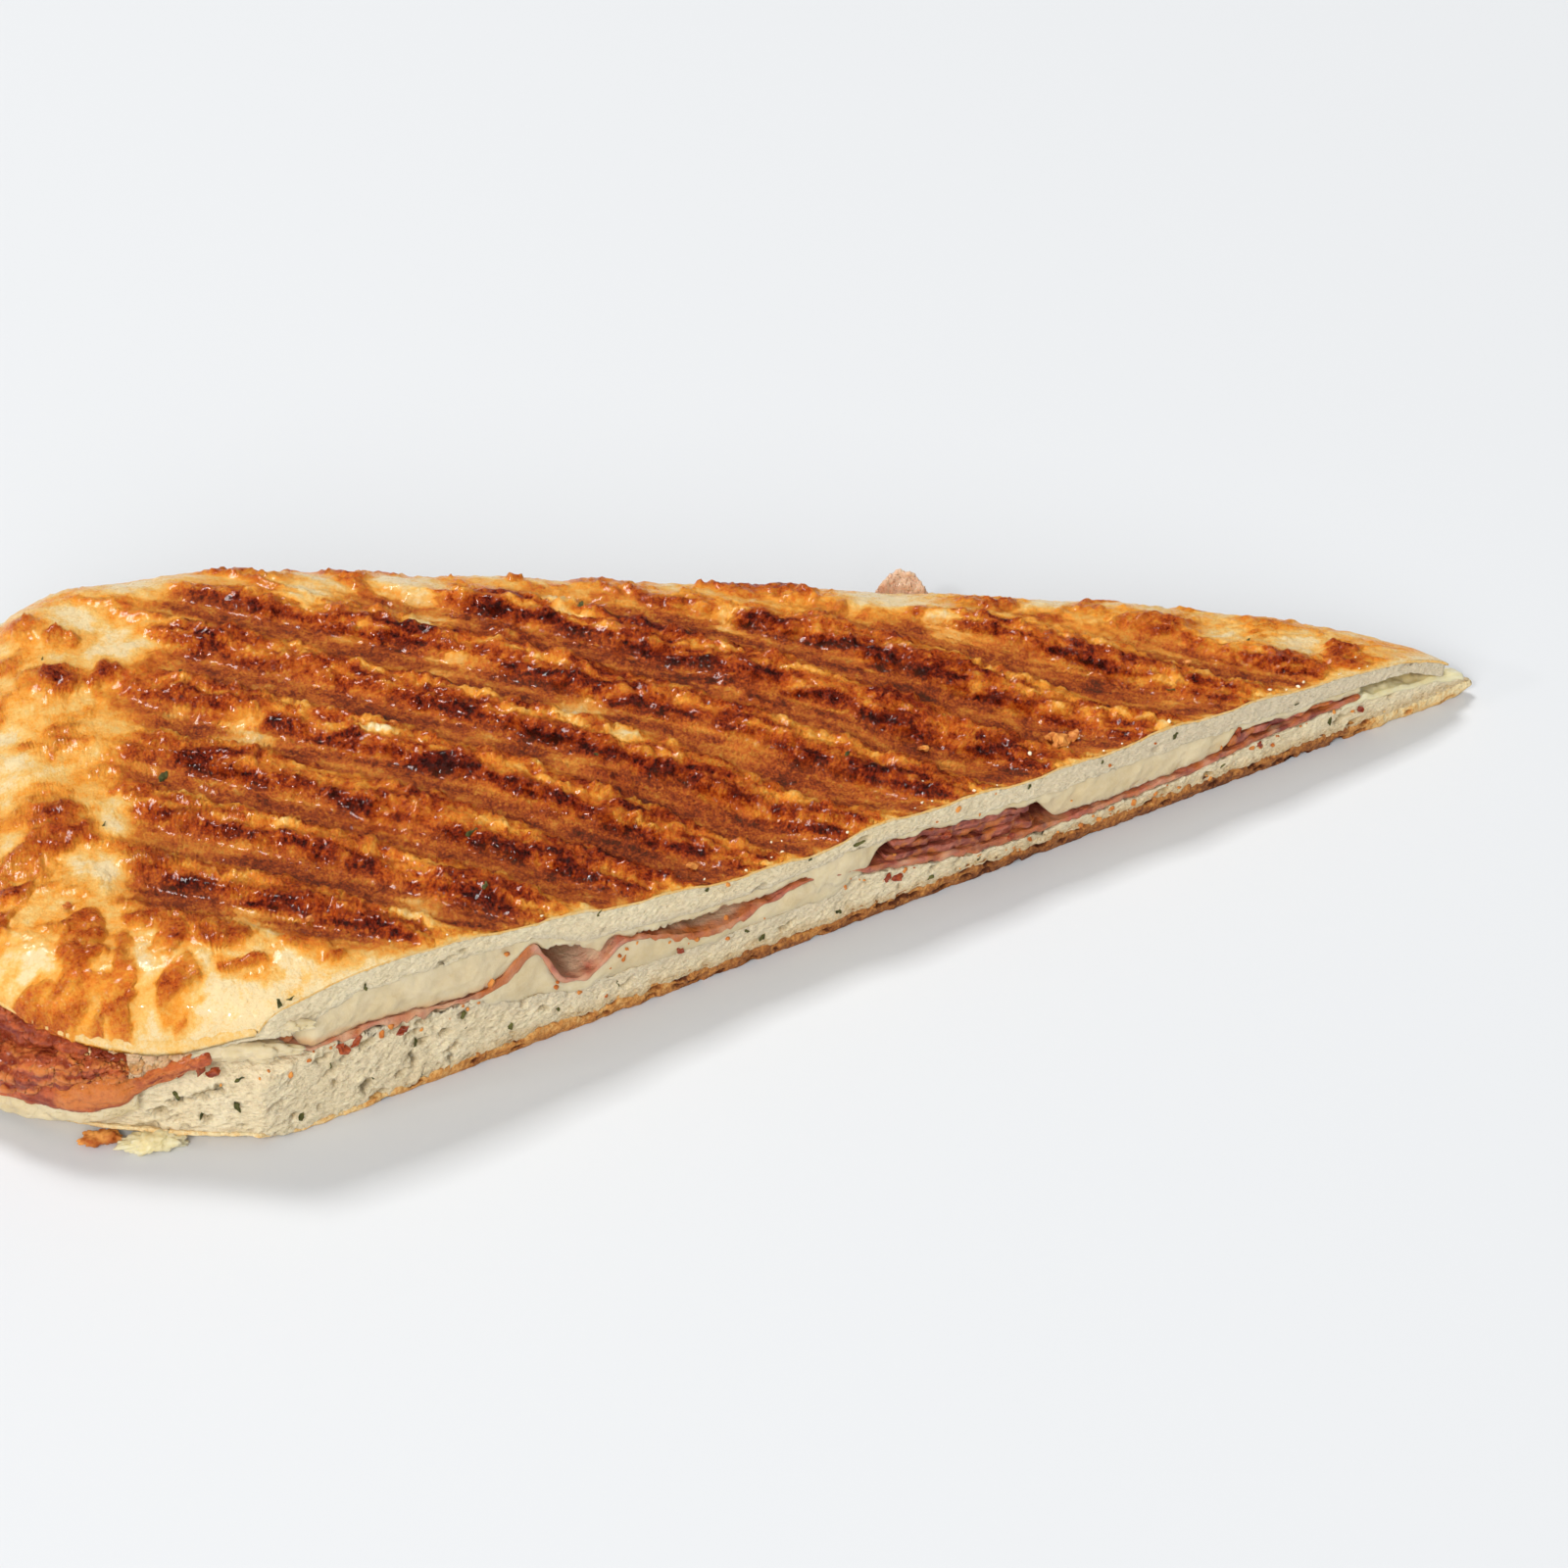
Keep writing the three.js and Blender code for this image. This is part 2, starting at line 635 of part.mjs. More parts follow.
add("top_bread", topBread(), "crust");
add("bottom_bread", bottomBread(), "bread");
add("cheese_upper", upperCheese(), "cheese");
add("cheese_lower", lowerCheese(), "cheese");
add("ham_slice", hamSlice(), "ham");

const HAM_LEAVES = {
  ham_upper: { from: -83, to: -55, deep: 60, cutInset: 0.7, share: [0, 1] },
  ham_fold_low: { from: 14, to: 36, deep: 28, cutInset: 0.7, share: [0, 0.33] },
  ham_fold_mid: { from: 16, to: 34, deep: 29, cutInset: 1.1, share: [0.33, 0.66] },
  ham_fold_high: { from: 15, to: 35, deep: 27, cutInset: 0.8, share: [0.66, 1] },
  ham_wedge: { from: 70, to: 88, deep: 15, cutInset: 0.6, share: [0, 1] },
};
for (const [name, sizes] of Object.entries(HAM_LEAVES)) {
  add(name, leaf(sizes), "ham");
}

const CUT_CORNER = [-76, -22];
const FAR_CORNER = [-76, 20];
const BACK_EDGE = [23, 20];
const FLAPS = {
  ham_flap_outer: {
    finish: "ham", hub: CUT_CORNER, from: 190, to: 262, inside: 7, outside: -1.2,
    zInside: 13.2, zOutside: 9.6, thickness: 1.3,
  },
  ham_flap_inner: {
    finish: "ham", hub: CUT_CORNER, from: 212, to: 262, inside: 6, outside: -0.9,
    zInside: 11, zOutside: 7.4, thickness: 1,
  },
  cheese_far_corner: {
    finish: "cheese", hub: FAR_CORNER, from: 128, to: 168, inside: 5, outside: -2.6,
    zInside: 11.6, zOutside: 13, thickness: 1,
  },
  ham_far_corner: {
    finish: "ham", hub: FAR_CORNER, from: 152, to: 182, inside: 4.5, outside: -1.6,
    zInside: 10, zOutside: 10.8, thickness: 1,
  },
  ham_back_tip: {
    finish: "ham", hub: BACK_EDGE, from: 98, to: 82, inside: 2, outside: -3.6,
    zInside: 9.4, zOutside: 15.5, thickness: 1,
  },
};
for (const [name, { finish, ...sizes }] of Object.entries(FLAPS)) {
  add(name, flap(sizes), finish);
}

const SCRAPS = {
  fat_scrap: {
    finish: "fat", centre: [-73.6, -43.9, 11], radii: [4.6, 2.4, 2], turn: 0.4, unevenness: 0.12,
  },
  cheese_drip: {
    finish: "cheese", centre: [-93.2, -45.2, 3.5], radii: [4.6, 1.2, 2.8], turn: -0.66,
    unevenness: 0.12,
  },
  cheese_crumb: {
    finish: "cheese", centre: [-79, -50.4, 1.9], radii: [4, 1.8, 1.5], turn: 0.1, unevenness: 0.1,
  },
};
for (const [name, { finish, ...sizes }] of Object.entries(SCRAPS)) {
  add(name, scrap(sizes), finish);
}

add("cheese_tip", cheeseAtTip(), "cheese");

export default sandwich;
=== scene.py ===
"""The looks of a pressed, griddled flatbread sandwich half with melted cheese and thin cured ham.

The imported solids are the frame. Every piece here is a finer model of one or more of them: it
repeats their outline and heights, and adds blisters, pores, torn edges and finishes. Places are
worked out in millimetres, with s along the knife cut and w behind it, or x and y in plan, and
become metres in each mesh. Whole numbers given to noise, rough and cells are their seeds.
"""

import math

import bpy
import numpy as np
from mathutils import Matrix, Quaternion, Vector


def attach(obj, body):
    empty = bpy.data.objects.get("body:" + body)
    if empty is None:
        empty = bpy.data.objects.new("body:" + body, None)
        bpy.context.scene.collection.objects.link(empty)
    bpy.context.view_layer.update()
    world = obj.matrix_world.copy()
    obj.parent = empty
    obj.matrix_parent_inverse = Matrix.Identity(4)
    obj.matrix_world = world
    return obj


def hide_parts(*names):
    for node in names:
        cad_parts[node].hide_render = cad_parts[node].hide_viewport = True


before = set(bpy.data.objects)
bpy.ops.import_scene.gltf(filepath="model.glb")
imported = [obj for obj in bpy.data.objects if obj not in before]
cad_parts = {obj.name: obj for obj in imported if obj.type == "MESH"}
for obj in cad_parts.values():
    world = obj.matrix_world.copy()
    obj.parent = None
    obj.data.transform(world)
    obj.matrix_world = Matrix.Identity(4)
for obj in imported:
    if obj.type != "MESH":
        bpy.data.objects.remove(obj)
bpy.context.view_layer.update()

# ---- Driving dimensions of the solids, in millimetres ----

MM = 0.001
CENTRING = np.array([0.8, -0.6, 0.0])
CORNER_POWER = 6
CUT_ANGLE = math.radians(28.9)
CUT_OFFSET = -12.0

TIP_X = 101.0
TAPER_LENGTH = 166.0
TIP_THICKNESS = 7.5
FULL_THICKNESS = 23.0

# Heights of the layers at the cut, as (s, height).
CROWN_AT_CUT = [
    (-86, 25.2), (-64, 23.2), (-44, 20.9), (-18, 16.7), (0, 14.9),
    (12, 15.7), (40, 13.8), (60, 13.8), (84, 12), (106, 9.2),
]
ROOF_AT_CUT = [
    (-86, 20.9), (-64, 19.2), (-41, 17.6), (-33, 14.4), (-10, 11.9),
    (14, 12.5), (38, 10.2), (60, 9.9), (84, 8.7), (106, 7.4),
]
HAM_AT_CUT = [
    (-86, 13.8), (-64, 13.2), (-50, 11.7), (-45, 12.3), (-40.5, 15.6), (-36.5, 9.2), (-32, 8.4),
    (-27, 11.6), (-19, 9.2), (-13, 7.8), (-5, 9.5), (2, 10.2), (16, 7.2), (30, 4.9), (61, 4.7),
    (72, 5.9), (92, 6.6), (110, 4.4),
]
LOWER_CHEESE_FLOOR = [(-50, 10.2), (-34, 6.9), (-15, 6.2), (8, 6.4)]
CUT_INFLUENCE = (3, 30)

# Rooms between the layers, as (start, end, ramp) along the cut and (open to, shut from) behind it.
ROOMS = [(-37, -8, 4, 9, 20), (13, 37, 4, 30, 42), (70, 89, 3, 16, 22)]
UNDER_ROOM = (-46, 5, 4, 46, 52)
UNDER_CHEESE_THICKNESS = 1.6

GROOVE_ANGLE = math.radians(-20)
THREAD_ANGLE = math.radians(-13)
GROOVE_PITCH = 11.7
GROOVE_PHASE = 6.4
GROOVE_WIDTH = 5.6
GROOVE_DEPTH = 1.5
RIDGE_SWELL = 0.25
LUMP_HEIGHT = 0.45

EDGE_RADIUS = 12.0
MOUTH_RADIUS = 8.0
BOTTOM_EDGE_RADIUS = 7.0
SLICE_LIP = 1.2
FOOT_ROUND = 4.0
FOOT_RISE = 1.5

# Where the mouth stands open, as (x, y, reach, opening), and where its lip lifts, as (x, y, reach,
# lift). The lips are shares of the thickness, or of the floor's height, where it is shut and open.
UPPER_LIP = (0.5, 0.57)
LOWER_LIP = (0.62, 0.28)
GAPES = [(-90, -46, 24, 1), (-102, 38, 16, 0.5)]
GAPE_INSET = 6.5
LIP_LIFTS = [(-101, -41, 11, 4.2), (-63, -50, 9, 5.0)]

GAP = 0.3
HAM_THICKNESS = 1.1
HAM_HEIGHT_SHARE = 0.52
STEEPEST_HAM = 1.8
CHEESE_FILM = 0.7
CHEESE_THICKNESS = 3.1
CHEESE_THINS_AT = (55, 95)
FILLING_INSET = 2.6
FILLING_START, FILLING_END = -102, 91.0
CRUST_THICKNESS = 1.0
BASE_CRUST_THICKNESS = 2.1
FLOOR_CLEARANCE = 0.03

# Distances between neighbouring rows of points, and how far rows graze the blunt end.
CRUST_STEP, BASE_STEP, CRUMB_STEP, FILLING_STEP, TIP_STEP = 0.44, 0.42, 0.38, 0.42, 0.3
GRAZING = 26.0

# ---- Smooth steps, curves and repeatable noise ----


def mix(a, b, t):
    return a + (b - a) * t


def smooth(a, b, x):
    t = np.clip((x - a) / (b - a), 0, 1)
    return t * t * (3 - 2 * t)


def fall(a, b, x):
    """1 up to a, then smoothly down to 0 at b."""
    return 1 - smooth(a, b, x)


def plateau(x, start, end, ramp):
    return smooth(start - ramp, start, x) * fall(end, end + ramp, x)


def bell(x, centre, width):
    return np.exp(-(((x - centre) / width) ** 2))


def quarter_round(t):
    return np.sqrt(1 - (1 - np.clip(t, 0, 1)) ** 2)


def powered(a, power):
    return np.sign(a) * np.abs(a) ** power


def between_ends(count):
    """Shares from 0 to 1 without the ends."""
    return np.linspace(0, 1, count + 2)[1:-1]


def turned(x, y, angle):
    """x and y along and across a direction."""
    c, s = math.cos(angle), math.sin(angle)
    return x * c + y * s, y * c - x * s


def curve(at, value, x):
    """A smooth curve at x through values, of one or more numbers each, level outside."""
    spare = (1,) * (value.ndim - 1)
    steps = np.diff(at).reshape((-1,) + spare)
    chord = np.diff(value, axis=0) / steps
    middle = (value[2:] - value[:-2]) / (steps[1:] + steps[:-1])
    slope = np.concatenate([chord[:1], middle, chord[-1:]])
    x = np.clip(x, at[0], at[-1])
    i = np.clip(np.searchsorted(at, x, side="right") - 1, 0, len(at) - 2)
    h = (at[i + 1] - at[i]).reshape(x.shape + spare)
    t = (x - at[i]).reshape(x.shape + spare) / h
    lead = t * (1 - t) ** 2 * h * slope[i]
    trail = t * t * (t - 1) * h * slope[i + 1]
    return value[i] + (value[i + 1] - value[i]) * (t * t * (3 - 2 * t)) + lead + trail


def through(stations, x):
    """A smooth curve through (position, value) stations, level outside them."""
    at, value = np.array(stations, float).T
    return curve(at, value, np.asarray(x, float))


WORD = 0xFFFFFFFF


def scramble(i, j, k, seed):
    """A repeatable number from 0 to 1 for each point of a whole-number lattice."""
    h = (i * 374761393 + j * 668265263 + k * 1440662683 + seed * 1013904223) & WORD
    h = ((h ^ (h >> 13)) * 1274126177) & WORD
    h = ((h ^ (h >> 16)) * 1911520717) & WORD
    return (h ^ (h >> 15)) / (WORD + 1.0)


def noise(seed, x, y=0.0, z=0.0):
    """Gradient noise, from about -1 to 1, with one wave to a unit."""
    cell = [np.floor(a).astype(np.int64) for a in (x, y, z)]
    local = [a - c for a, c in zip((x, y, z), cell)]
    fade = [t * t * t * (t * (6 * t - 15) + 10) for t in local]
    total = 0.0
    for di, dj, dk in np.ndindex(2, 2, 2):
        corner = cell[0] + di, cell[1] + dj, cell[2] + dk
        turn = 2 * math.pi * scramble(*corner, seed)
        lift = 2 * scramble(*corner, seed + 7) - 1
        flat = np.sqrt(1 - lift * lift)
        slope = (
            flat * np.cos(turn) * (local[0] - di)
            + flat * np.sin(turn) * (local[1] - dj)
            + lift * (local[2] - dk)
        )
        weight = 1.0
        for d, f in zip((di, dj, dk), fade):
            weight = weight * (f if d else 1 - f)
        total = total + slope * weight
    return 1.6 * total


def rough(size, octaves, seed, x, y=0.0, z=0.0, gain=0.5):
    """Layered noise whose largest waves are size millimetres long."""
    total, strength, scale = 0.0, 1.0, 1.0 / size
    for octave in range(octaves):
        total = total + strength * noise(seed + 13 * octave, x * scale, y * scale, z * scale)
        strength *= gain
        scale *= 2.1
    return total


def cells(seed, u, v):
    """For scattered cells one unit apart: distance to the nearest centre, and that cell's tag."""
    ci, cj = np.floor(u).astype(np.int64), np.floor(v).astype(np.int64)
    nearest, tag = np.full(u.shape, 9.0), np.zeros(u.shape)
    for di, dj in np.ndindex(3, 3):
        i, j = ci + di - 1, cj + dj - 1
        away = np.hypot(
            i + 0.1 + 0.8 * scramble(i, j, 0, seed) - u,
            j + 0.1 + 0.8 * scramble(i, j, 1, seed) - v,
        )
        tag = np.where(away < nearest, scramble(i, j, 2, seed), tag)
        nearest = np.minimum(nearest, away)
    return nearest, tag


def between(count, low, high, seed):
    return low + (high - low) * scramble(np.arange(count), 0, 0, seed)


# ---- Plan ----


def place(s, w):
    """x and y of a point s along the cut and w behind it."""
    depth = w + CUT_OFFSET
    return (
        s * math.cos(CUT_ANGLE) - depth * math.sin(CUT_ANGLE),
        s * math.sin(CUT_ANGLE) + depth * math.cos(CUT_ANGLE),
    )


def from_plan(x, y):
    """s and w of a point in plan."""
    s, depth = turned(x, y, CUT_ANGLE)
    return s, depth - CUT_OFFSET


def chords(inside, rows, deepest=112.0):
    """The rows that cross the region inside(s, w) > 0, and where each enters and leaves it."""
    w = np.linspace(0, deepest, 900)
    within = inside(rows[:, None], w[None, :]) > 0
    crossing = within.sum(1) > 1
    rows, within = rows[crossing], within[crossing]
    first = within.argmax(1)
    last = len(w) - 1 - within[:, ::-1].argmax(1)

    def edge(outer, inner):
        for _ in range(26):
            middle = (outer + inner) / 2
            kept = inside(rows, middle) > 0
            inner = np.where(kept, middle, inner)
            outer = np.where(kept, outer, middle)
        return inner

    near = np.where(first > 0, edge(w[first] - w[1], w[first]), 0.0)
    return rows, near, edge(w[last] + w[1], w[last])


class Slice:
    """The outline of a whole slice before the knife cut: a rectangle with full round corners."""

    def __init__(self, x, y, length, width):
        self.x, self.y, self.length, self.width = x, y, length, width

    def inside(self, x, y):
        """Distance inwards from the outline, exact near it."""
        u, v = np.abs(x - self.x) / self.length, np.abs(y - self.y) / self.width
        r = np.maximum(0.3, (u**CORNER_POWER + v**CORNER_POWER) ** (1 / CORNER_POWER))
        slope = np.hypot(
            (u / r) ** (CORNER_POWER - 1) / self.length,
            (v / r) ** (CORNER_POWER - 1) / self.width,
        )
        return (1 - r) / slope

    def outline(self, count=4000):
        """Points round the outline: parameter, x, y and the distance travelled to each."""
        t = np.linspace(-math.pi, math.pi, count)
        x = self.x + self.length * powered(np.cos(t), 2 / CORNER_POWER)
        y = self.y + self.width * powered(np.sin(t), 2 / CORNER_POWER)
        return t, x, y, np.concatenate([[0], np.cumsum(np.hypot(np.diff(x), np.diff(y)))])

    def around(self, x, y):
        """Distance round the outline of the outline point next to x, y."""
        t, _, _, travel = self.outline()
        u = powered((x - self.x) / self.length, CORNER_POWER / 2)
        v = powered((y - self.y) / self.width, CORNER_POWER / 2)
        return np.interp(np.arctan2(v, u), t, travel)

    def rows(self, step, margin=0.0):
        """Rows along the cut that cross the slice, less a margin, and where each enters and leaves.

        They crowd where the first of them only graze the rounded blunt end.
        """
        _, x, y, _ = self.outline()
        s, w = from_plan(x, y)
        s = s[w >= 0]
        crowded = s.min() + (np.arange(1, int(GRAZING / step)) * step) ** 2 / (2 * GRAZING)
        even = np.linspace(crowded[-1], s.max(), int((s.max() - crowded[-1]) / step))
        rows = np.concatenate([crowded, even[1:]])
        return chords(lambda s, w: self.inside(*place(s, w)) - margin, rows)


TOP = Slice(1.5, -0.3, 105.0, 49.5)
BOTTOM = Slice(5.3, -0.3, 109.0, 49.5)


def gape(x, y):
    """How far the mouth stands open, from 0 to 1."""
    wide = 0.0
    for gx, gy, reach, opening in GAPES:
        wide = np.maximum(wide, opening * np.exp(-((x - gx) ** 2 + (y - gy) ** 2) / reach**2))
    return wide


# ---- Heights ----


def room_at(s, w, room):
    start, end, ramp, shallow, deep = room
    return plateau(s, start, end, ramp) * fall(shallow, deep, w)


def levels(s, w):
    """Heights of every layer at a point, as the solids have them."""
    x, y = place(s, w)
    near = fall(*CUT_INFLUENCE, w)
    tapered = np.sqrt(np.clip((TIP_X - x) / TAPER_LENGTH, 0, 1))
    thickness = mix(TIP_THICKNESS, FULL_THICKNESS, tapered)
    crown = mix(thickness, through(CROWN_AT_CUT, s), near)
    wave = 0.45 * np.sin(x / 9 + y / 14) + 0.35 * np.sin(y / 7 - x / 23)
    ruffle = near * (0.32 * noise(11, s / 3.1, w / 5) + 0.16 * noise(12, s / 1.3, w / 3))
    ham_middle = mix(HAM_HEIGHT_SHARE * thickness + wave, through(HAM_AT_CUT, s), near) + ruffle
    ham_slope = (through(HAM_AT_CUT, s + 0.5) - through(HAM_AT_CUT, s - 0.5)) * near
    ham_half = HAM_THICKNESS / 2 * np.minimum(STEEPEST_HAM, np.hypot(1, ham_slope))
    ham_half = ham_half * (1 + 0.45 * noise(13, s / 2.4, w / 4))
    ham_top, ham_bottom = ham_middle + ham_half, ham_middle - ham_half

    cheese = mix(CHEESE_THICKNESS, CHEESE_FILM + GAP, smooth(*CHEESE_THINS_AT, x))
    roof_wave = 0.40 * noise(14, s / 4.3, w / 6) + 0.15 * noise(15, s / 1.5, w / 3)
    roof = np.maximum(
        mix(ham_top + cheese + 2 * GAP, through(ROOF_AT_CUT, s) + roof_wave, near),
        ham_top + CHEESE_FILM + 2 * GAP,
    )
    room = 0.45 * fall(-54, -47, s) + 0.35 * fall(-34, -22, x) * (1 - near)
    for hollow in ROOMS:
        room = np.maximum(room, room_at(s, w, hollow))
    cheese_bottom = mix(ham_top + GAP, roof - GAP - CHEESE_FILM, np.minimum(room, 1))

    floor_behind = ham_bottom - UNDER_CHEESE_THICKNESS - 2 * GAP
    floor_with_cheese = np.minimum(
        mix(floor_behind, through(LOWER_CHEESE_FLOOR, s), near),
        ham_bottom - CHEESE_FILM - 2 * GAP,
    )
    floor = mix(ham_bottom - GAP, floor_with_cheese, room_at(s, w, UNDER_ROOM))

    gaping = gape(x, y)
    roof_edge = thickness * mix(*UPPER_LIP, gaping)
    for lx, ly, reach, lift in LIP_LIFTS:
        roof_edge = roof_edge + lift * np.exp(-((x - lx) ** 2 + (y - ly) ** 2) / reach**2)
    drawn_roof = mix(roof_edge, roof, smooth(0, MOUTH_RADIUS, TOP.inside(x, y)))
    rounded = quarter_round(BOTTOM.inside(x, y) / BOTTOM_EDGE_RADIUS)
    drawn_floor = mix(floor * mix(*LOWER_LIP, gaping), floor, rounded)
    squeeze = (drawn_roof - drawn_floor) / (roof - floor)

    def drawn(z):
        return drawn_floor + (z - floor) * squeeze

    return {
        "crown": crown, "roof_edge": roof_edge, "roof": drawn_roof,
        "cheese_bottom": drawn(cheese_bottom), "ham_top": drawn(ham_top),
        "ham_bottom": drawn(ham_bottom), "floor": drawn_floor,
    }


def along_grooves(x, y):
    """Distances along and across the grooves, which wander a little."""
    along, across = turned(x, y, GROOVE_ANGLE)
    return along, across + 0.7 * noise(3, x / 19, y / 19)


def groove_offset(across):
    """Signed distance from the middle of the nearest pressed band, towards the far edge."""
    phase = (across - GROOVE_PHASE) / GROOVE_PITCH
    return (phase - np.round(phase)) * GROOVE_PITCH


def pressed_share(x, y):
    """1 where the griddle's ribs pressed the crust, 0 on the rim that stayed free of them."""
    wander = rough(15, 2, 21, x, y)
    blunt = smooth(19, 31, x - TOP.x + TOP.length + 5 * wander)
    back = smooth(7, 14, TOP.width + TOP.y - y + 3 * wander)
    front = smooth(9, 17, TOP.width - TOP.y + y + 3 * wander)
    return blunt * back * front * fall(70, 88, x + 5 * wander)


def crown_height(s, w):
    """The crust's outer surface, with its bands, ridges and lumps."""
    x, y = place(s, w)
    level = levels(s, w)
    offset = np.abs(groove_offset(along_grooves(x, y)[1]))
    band = fall(GROOVE_WIDTH / 2 - 1, GROOVE_WIDTH / 2 + 1.6, offset)
    pressed = pressed_share(x, y)
    blister = np.sin(x / 3.4 + 1.7 * np.sin(y / 6.1)) * np.sin(y / 4.3 + 1.3 * np.sin(x / 7.7))
    relief = pressed * (RIDGE_SWELL - GROOVE_DEPTH * band)
    relief = relief + LUMP_HEIGHT * blister * (1 - 0.6 * pressed)
    relief = relief * (0.3 + 0.7 * smooth(0, 8, w))
    rim = level["roof_edge"] + SLICE_LIP
    round_ = quarter_round(TOP.inside(x, y) / EDGE_RADIUS)
    return rim + (level["crown"] + relief - rim) * round_


def foot_height(s, w):
    inside = BOTTOM.inside(*place(s, w))
    return FOOT_RISE * (1 - np.clip(inside / FOOT_ROUND, 0, 1)) ** 2


# ---- Meshes ----


def link(name, data):
    obj = bpy.data.objects.new(name, data)
    bpy.context.scene.collection.objects.link(obj)
    return obj


class Loft:
    """A closed body through section loops: one loop for each row, with the same count of points."""

    def __init__(self, points):
        self.points = points
        self.rows, self.across = points.shape[:2]
        self.triangles = self._triangles()
        a, b, c = (self._flat()[self.triangles[:, k]] for k in range(3))
        self.side = -1 if np.einsum("ij,ij->", a, np.cross(b, c)) < 0 else 1
        if self.side < 0:
            self.triangles = self.triangles[:, ::-1].copy()

    def _triangles(self):
        n, m = self.rows, self.across
        i, j = np.meshgrid(np.arange(n - 1), np.arange(m), indexing="ij")
        i, j = i.ravel(), j.ravel()
        k = (j + 1) % m
        a, b, c, d = i * m + j, (i + 1) * m + j, (i + 1) * m + k, i * m + k
        sides = np.concatenate([np.stack([a, b, c], 1), np.stack([a, c, d], 1)])
        j = np.arange(m)
        k = (j + 1) % m
        start = np.stack([np.full(m, n * m), j, k], 1)
        end = np.stack([np.full(m, n * m + 1), (n - 1) * m + k, (n - 1) * m + j], 1)
        return np.concatenate([sides, start, end])

    def _flat(self):
        ends = np.stack([self.points[0].mean(0), self.points[-1].mean(0)])
        return np.concatenate([self.points.reshape(-1, 3), ends])

    def push(self, distance, lowest=None):
        """Moves each point out along its normal, but not below the lowest height."""
        along = np.gradient(self.points, axis=0)
        round_ = np.roll(self.points, -1, axis=1) - np.roll(self.points, 1, axis=1)
        normals = self.side * np.cross(along, round_)
        normals = normals / np.maximum(np.linalg.norm(normals, axis=2, keepdims=True), 1e-9)
        self.points = self.points + normals * distance[..., None]
        if lowest is not None:
            self.points[..., 2] = np.maximum(self.points[..., 2], lowest)

    def make(self, name, finish, **looks):
        """The smooth piece, with the looks' numbers for each point as attributes for its finish."""
        mesh = bpy.data.meshes.new(name)
        mesh.from_pydata((self._flat() + CENTRING) * MM, [], self.triangles)
        for label, v in looks.items():
            values = np.concatenate([v.ravel(), [v[0].mean(), v[-1].mean()]])
            data = mesh.attributes.new(label, "FLOAT", "POINT").data
            data.foreach_set("value", np.ascontiguousarray(values, dtype=np.float32))
        mesh.polygons.foreach_set("use_smooth", np.ones(len(mesh.polygons), bool))
        mesh.materials.append(finish)
        return link(name, mesh)


class Layer(Loft):
    """A body behind the cut: each row's loop goes through runs of (depth, height) points."""

    def __init__(self, rows, near, far, *runs, narrow=8.0):
        self.w, self.z = (np.concatenate(part, axis=1) for part in zip(*runs))
        self.x, self.y = place(rows[:, None], self.w)
        super().__init__(np.stack([self.x, self.y, self.z], axis=2))
        self.s = np.repeat(rows[:, None], self.w.shape[1], axis=1)
        self.behind = self.w - near[:, None]
        self.small = np.clip((far - near) / narrow, 0, 1)[:, None]


def spread_by_length(near, far, height, rows, count):
    """Places across each row, from near to far, at equal distances along the surface."""
    t = (1 - np.cos(np.linspace(0, math.pi, 260))) / 2
    w = near[:, None] + (far - near)[:, None] * t[None, :]
    steps = np.hypot(np.diff(w, axis=1), np.diff(height(rows[:, None], w), axis=1))
    travel = np.concatenate([np.zeros((len(rows), 1)), np.cumsum(steps, axis=1)], axis=1)
    even = np.linspace(0, 1, count)
    return np.stack([np.interp(even * t_[-1], t_, w_) for t_, w_ in zip(travel, w)])


def eased(count, power):
    """Shares from 0 to 1, crowded at the start."""
    return np.linspace(0, 1, count) ** power


def slab(rows, near, far, top, bottom, front, across, back, bulge=0.0, power=2.0, narrow=8.0):
    """A layer with its front face on the cut. Top and bottom are functions of s, w and levels."""
    s = rows[:, None]
    over = near[:, None] + (far - near)[:, None] * eased(across, power)
    at_near, at_over = levels(rows, near), levels(s, over)
    low, high = bottom(rows, near, at_near)[:, None], top(rows, near, at_near)[:, None]
    over_z, under_z = top(s, over, at_over), bottom(s, over, at_over)
    up, down = between_ends(front), between_ends(back)[::-1]
    return Layer(
        rows, near, far,
        (near[:, None] - bulge * np.sin(math.pi * up), mix(low, high, up)),
        (over, over_z),
        (np.repeat(over[:, -1:], back, axis=1), mix(under_z[:, -1:], over_z[:, -1:], down)),
        (over[:, ::-1], under_z[:, ::-1]),
        narrow=narrow,
    )


# ---- Nodes and finishes ----


def add(tree, kind, inputs=None, **settings):
    """Adds a node; an input may be a number, a colour or another node's output."""
    node = tree.nodes.new(kind)
    for key, value in settings.items():
        setattr(node, key, value)
    for key, value in (inputs or {}).items():
        value = value.socket if isinstance(value, Value) else value
        if isinstance(value, bpy.types.NodeSocket):
            tree.links.new(value, node.inputs[key])
        else:
            node.inputs[key].default_value = value
    return node


class Value:
    """A node's output, which can be added to, taken away and multiplied as a number can."""

    def __init__(self, tree, kind, inputs, output=0, **settings):
        self.tree = tree
        self.socket = add(tree, kind, inputs, **settings).outputs[output]

    def _with(self, operation, a, b):
        return Value(self.tree, "ShaderNodeMath", {0: a, 1: b}, operation=operation)

    def __add__(self, other):
        return self._with("ADD", self, other)

    def __sub__(self, other):
        return self._with("SUBTRACT", self, other)

    def __rsub__(self, other):
        return self._with("SUBTRACT", other, self)

    def __mul__(self, other):
        return self._with("MULTIPLY", self, other)

    __radd__, __rmul__ = __add__, __mul__


def opaque(colour):
    return colour if isinstance(colour, Value) else (*colour, 1)


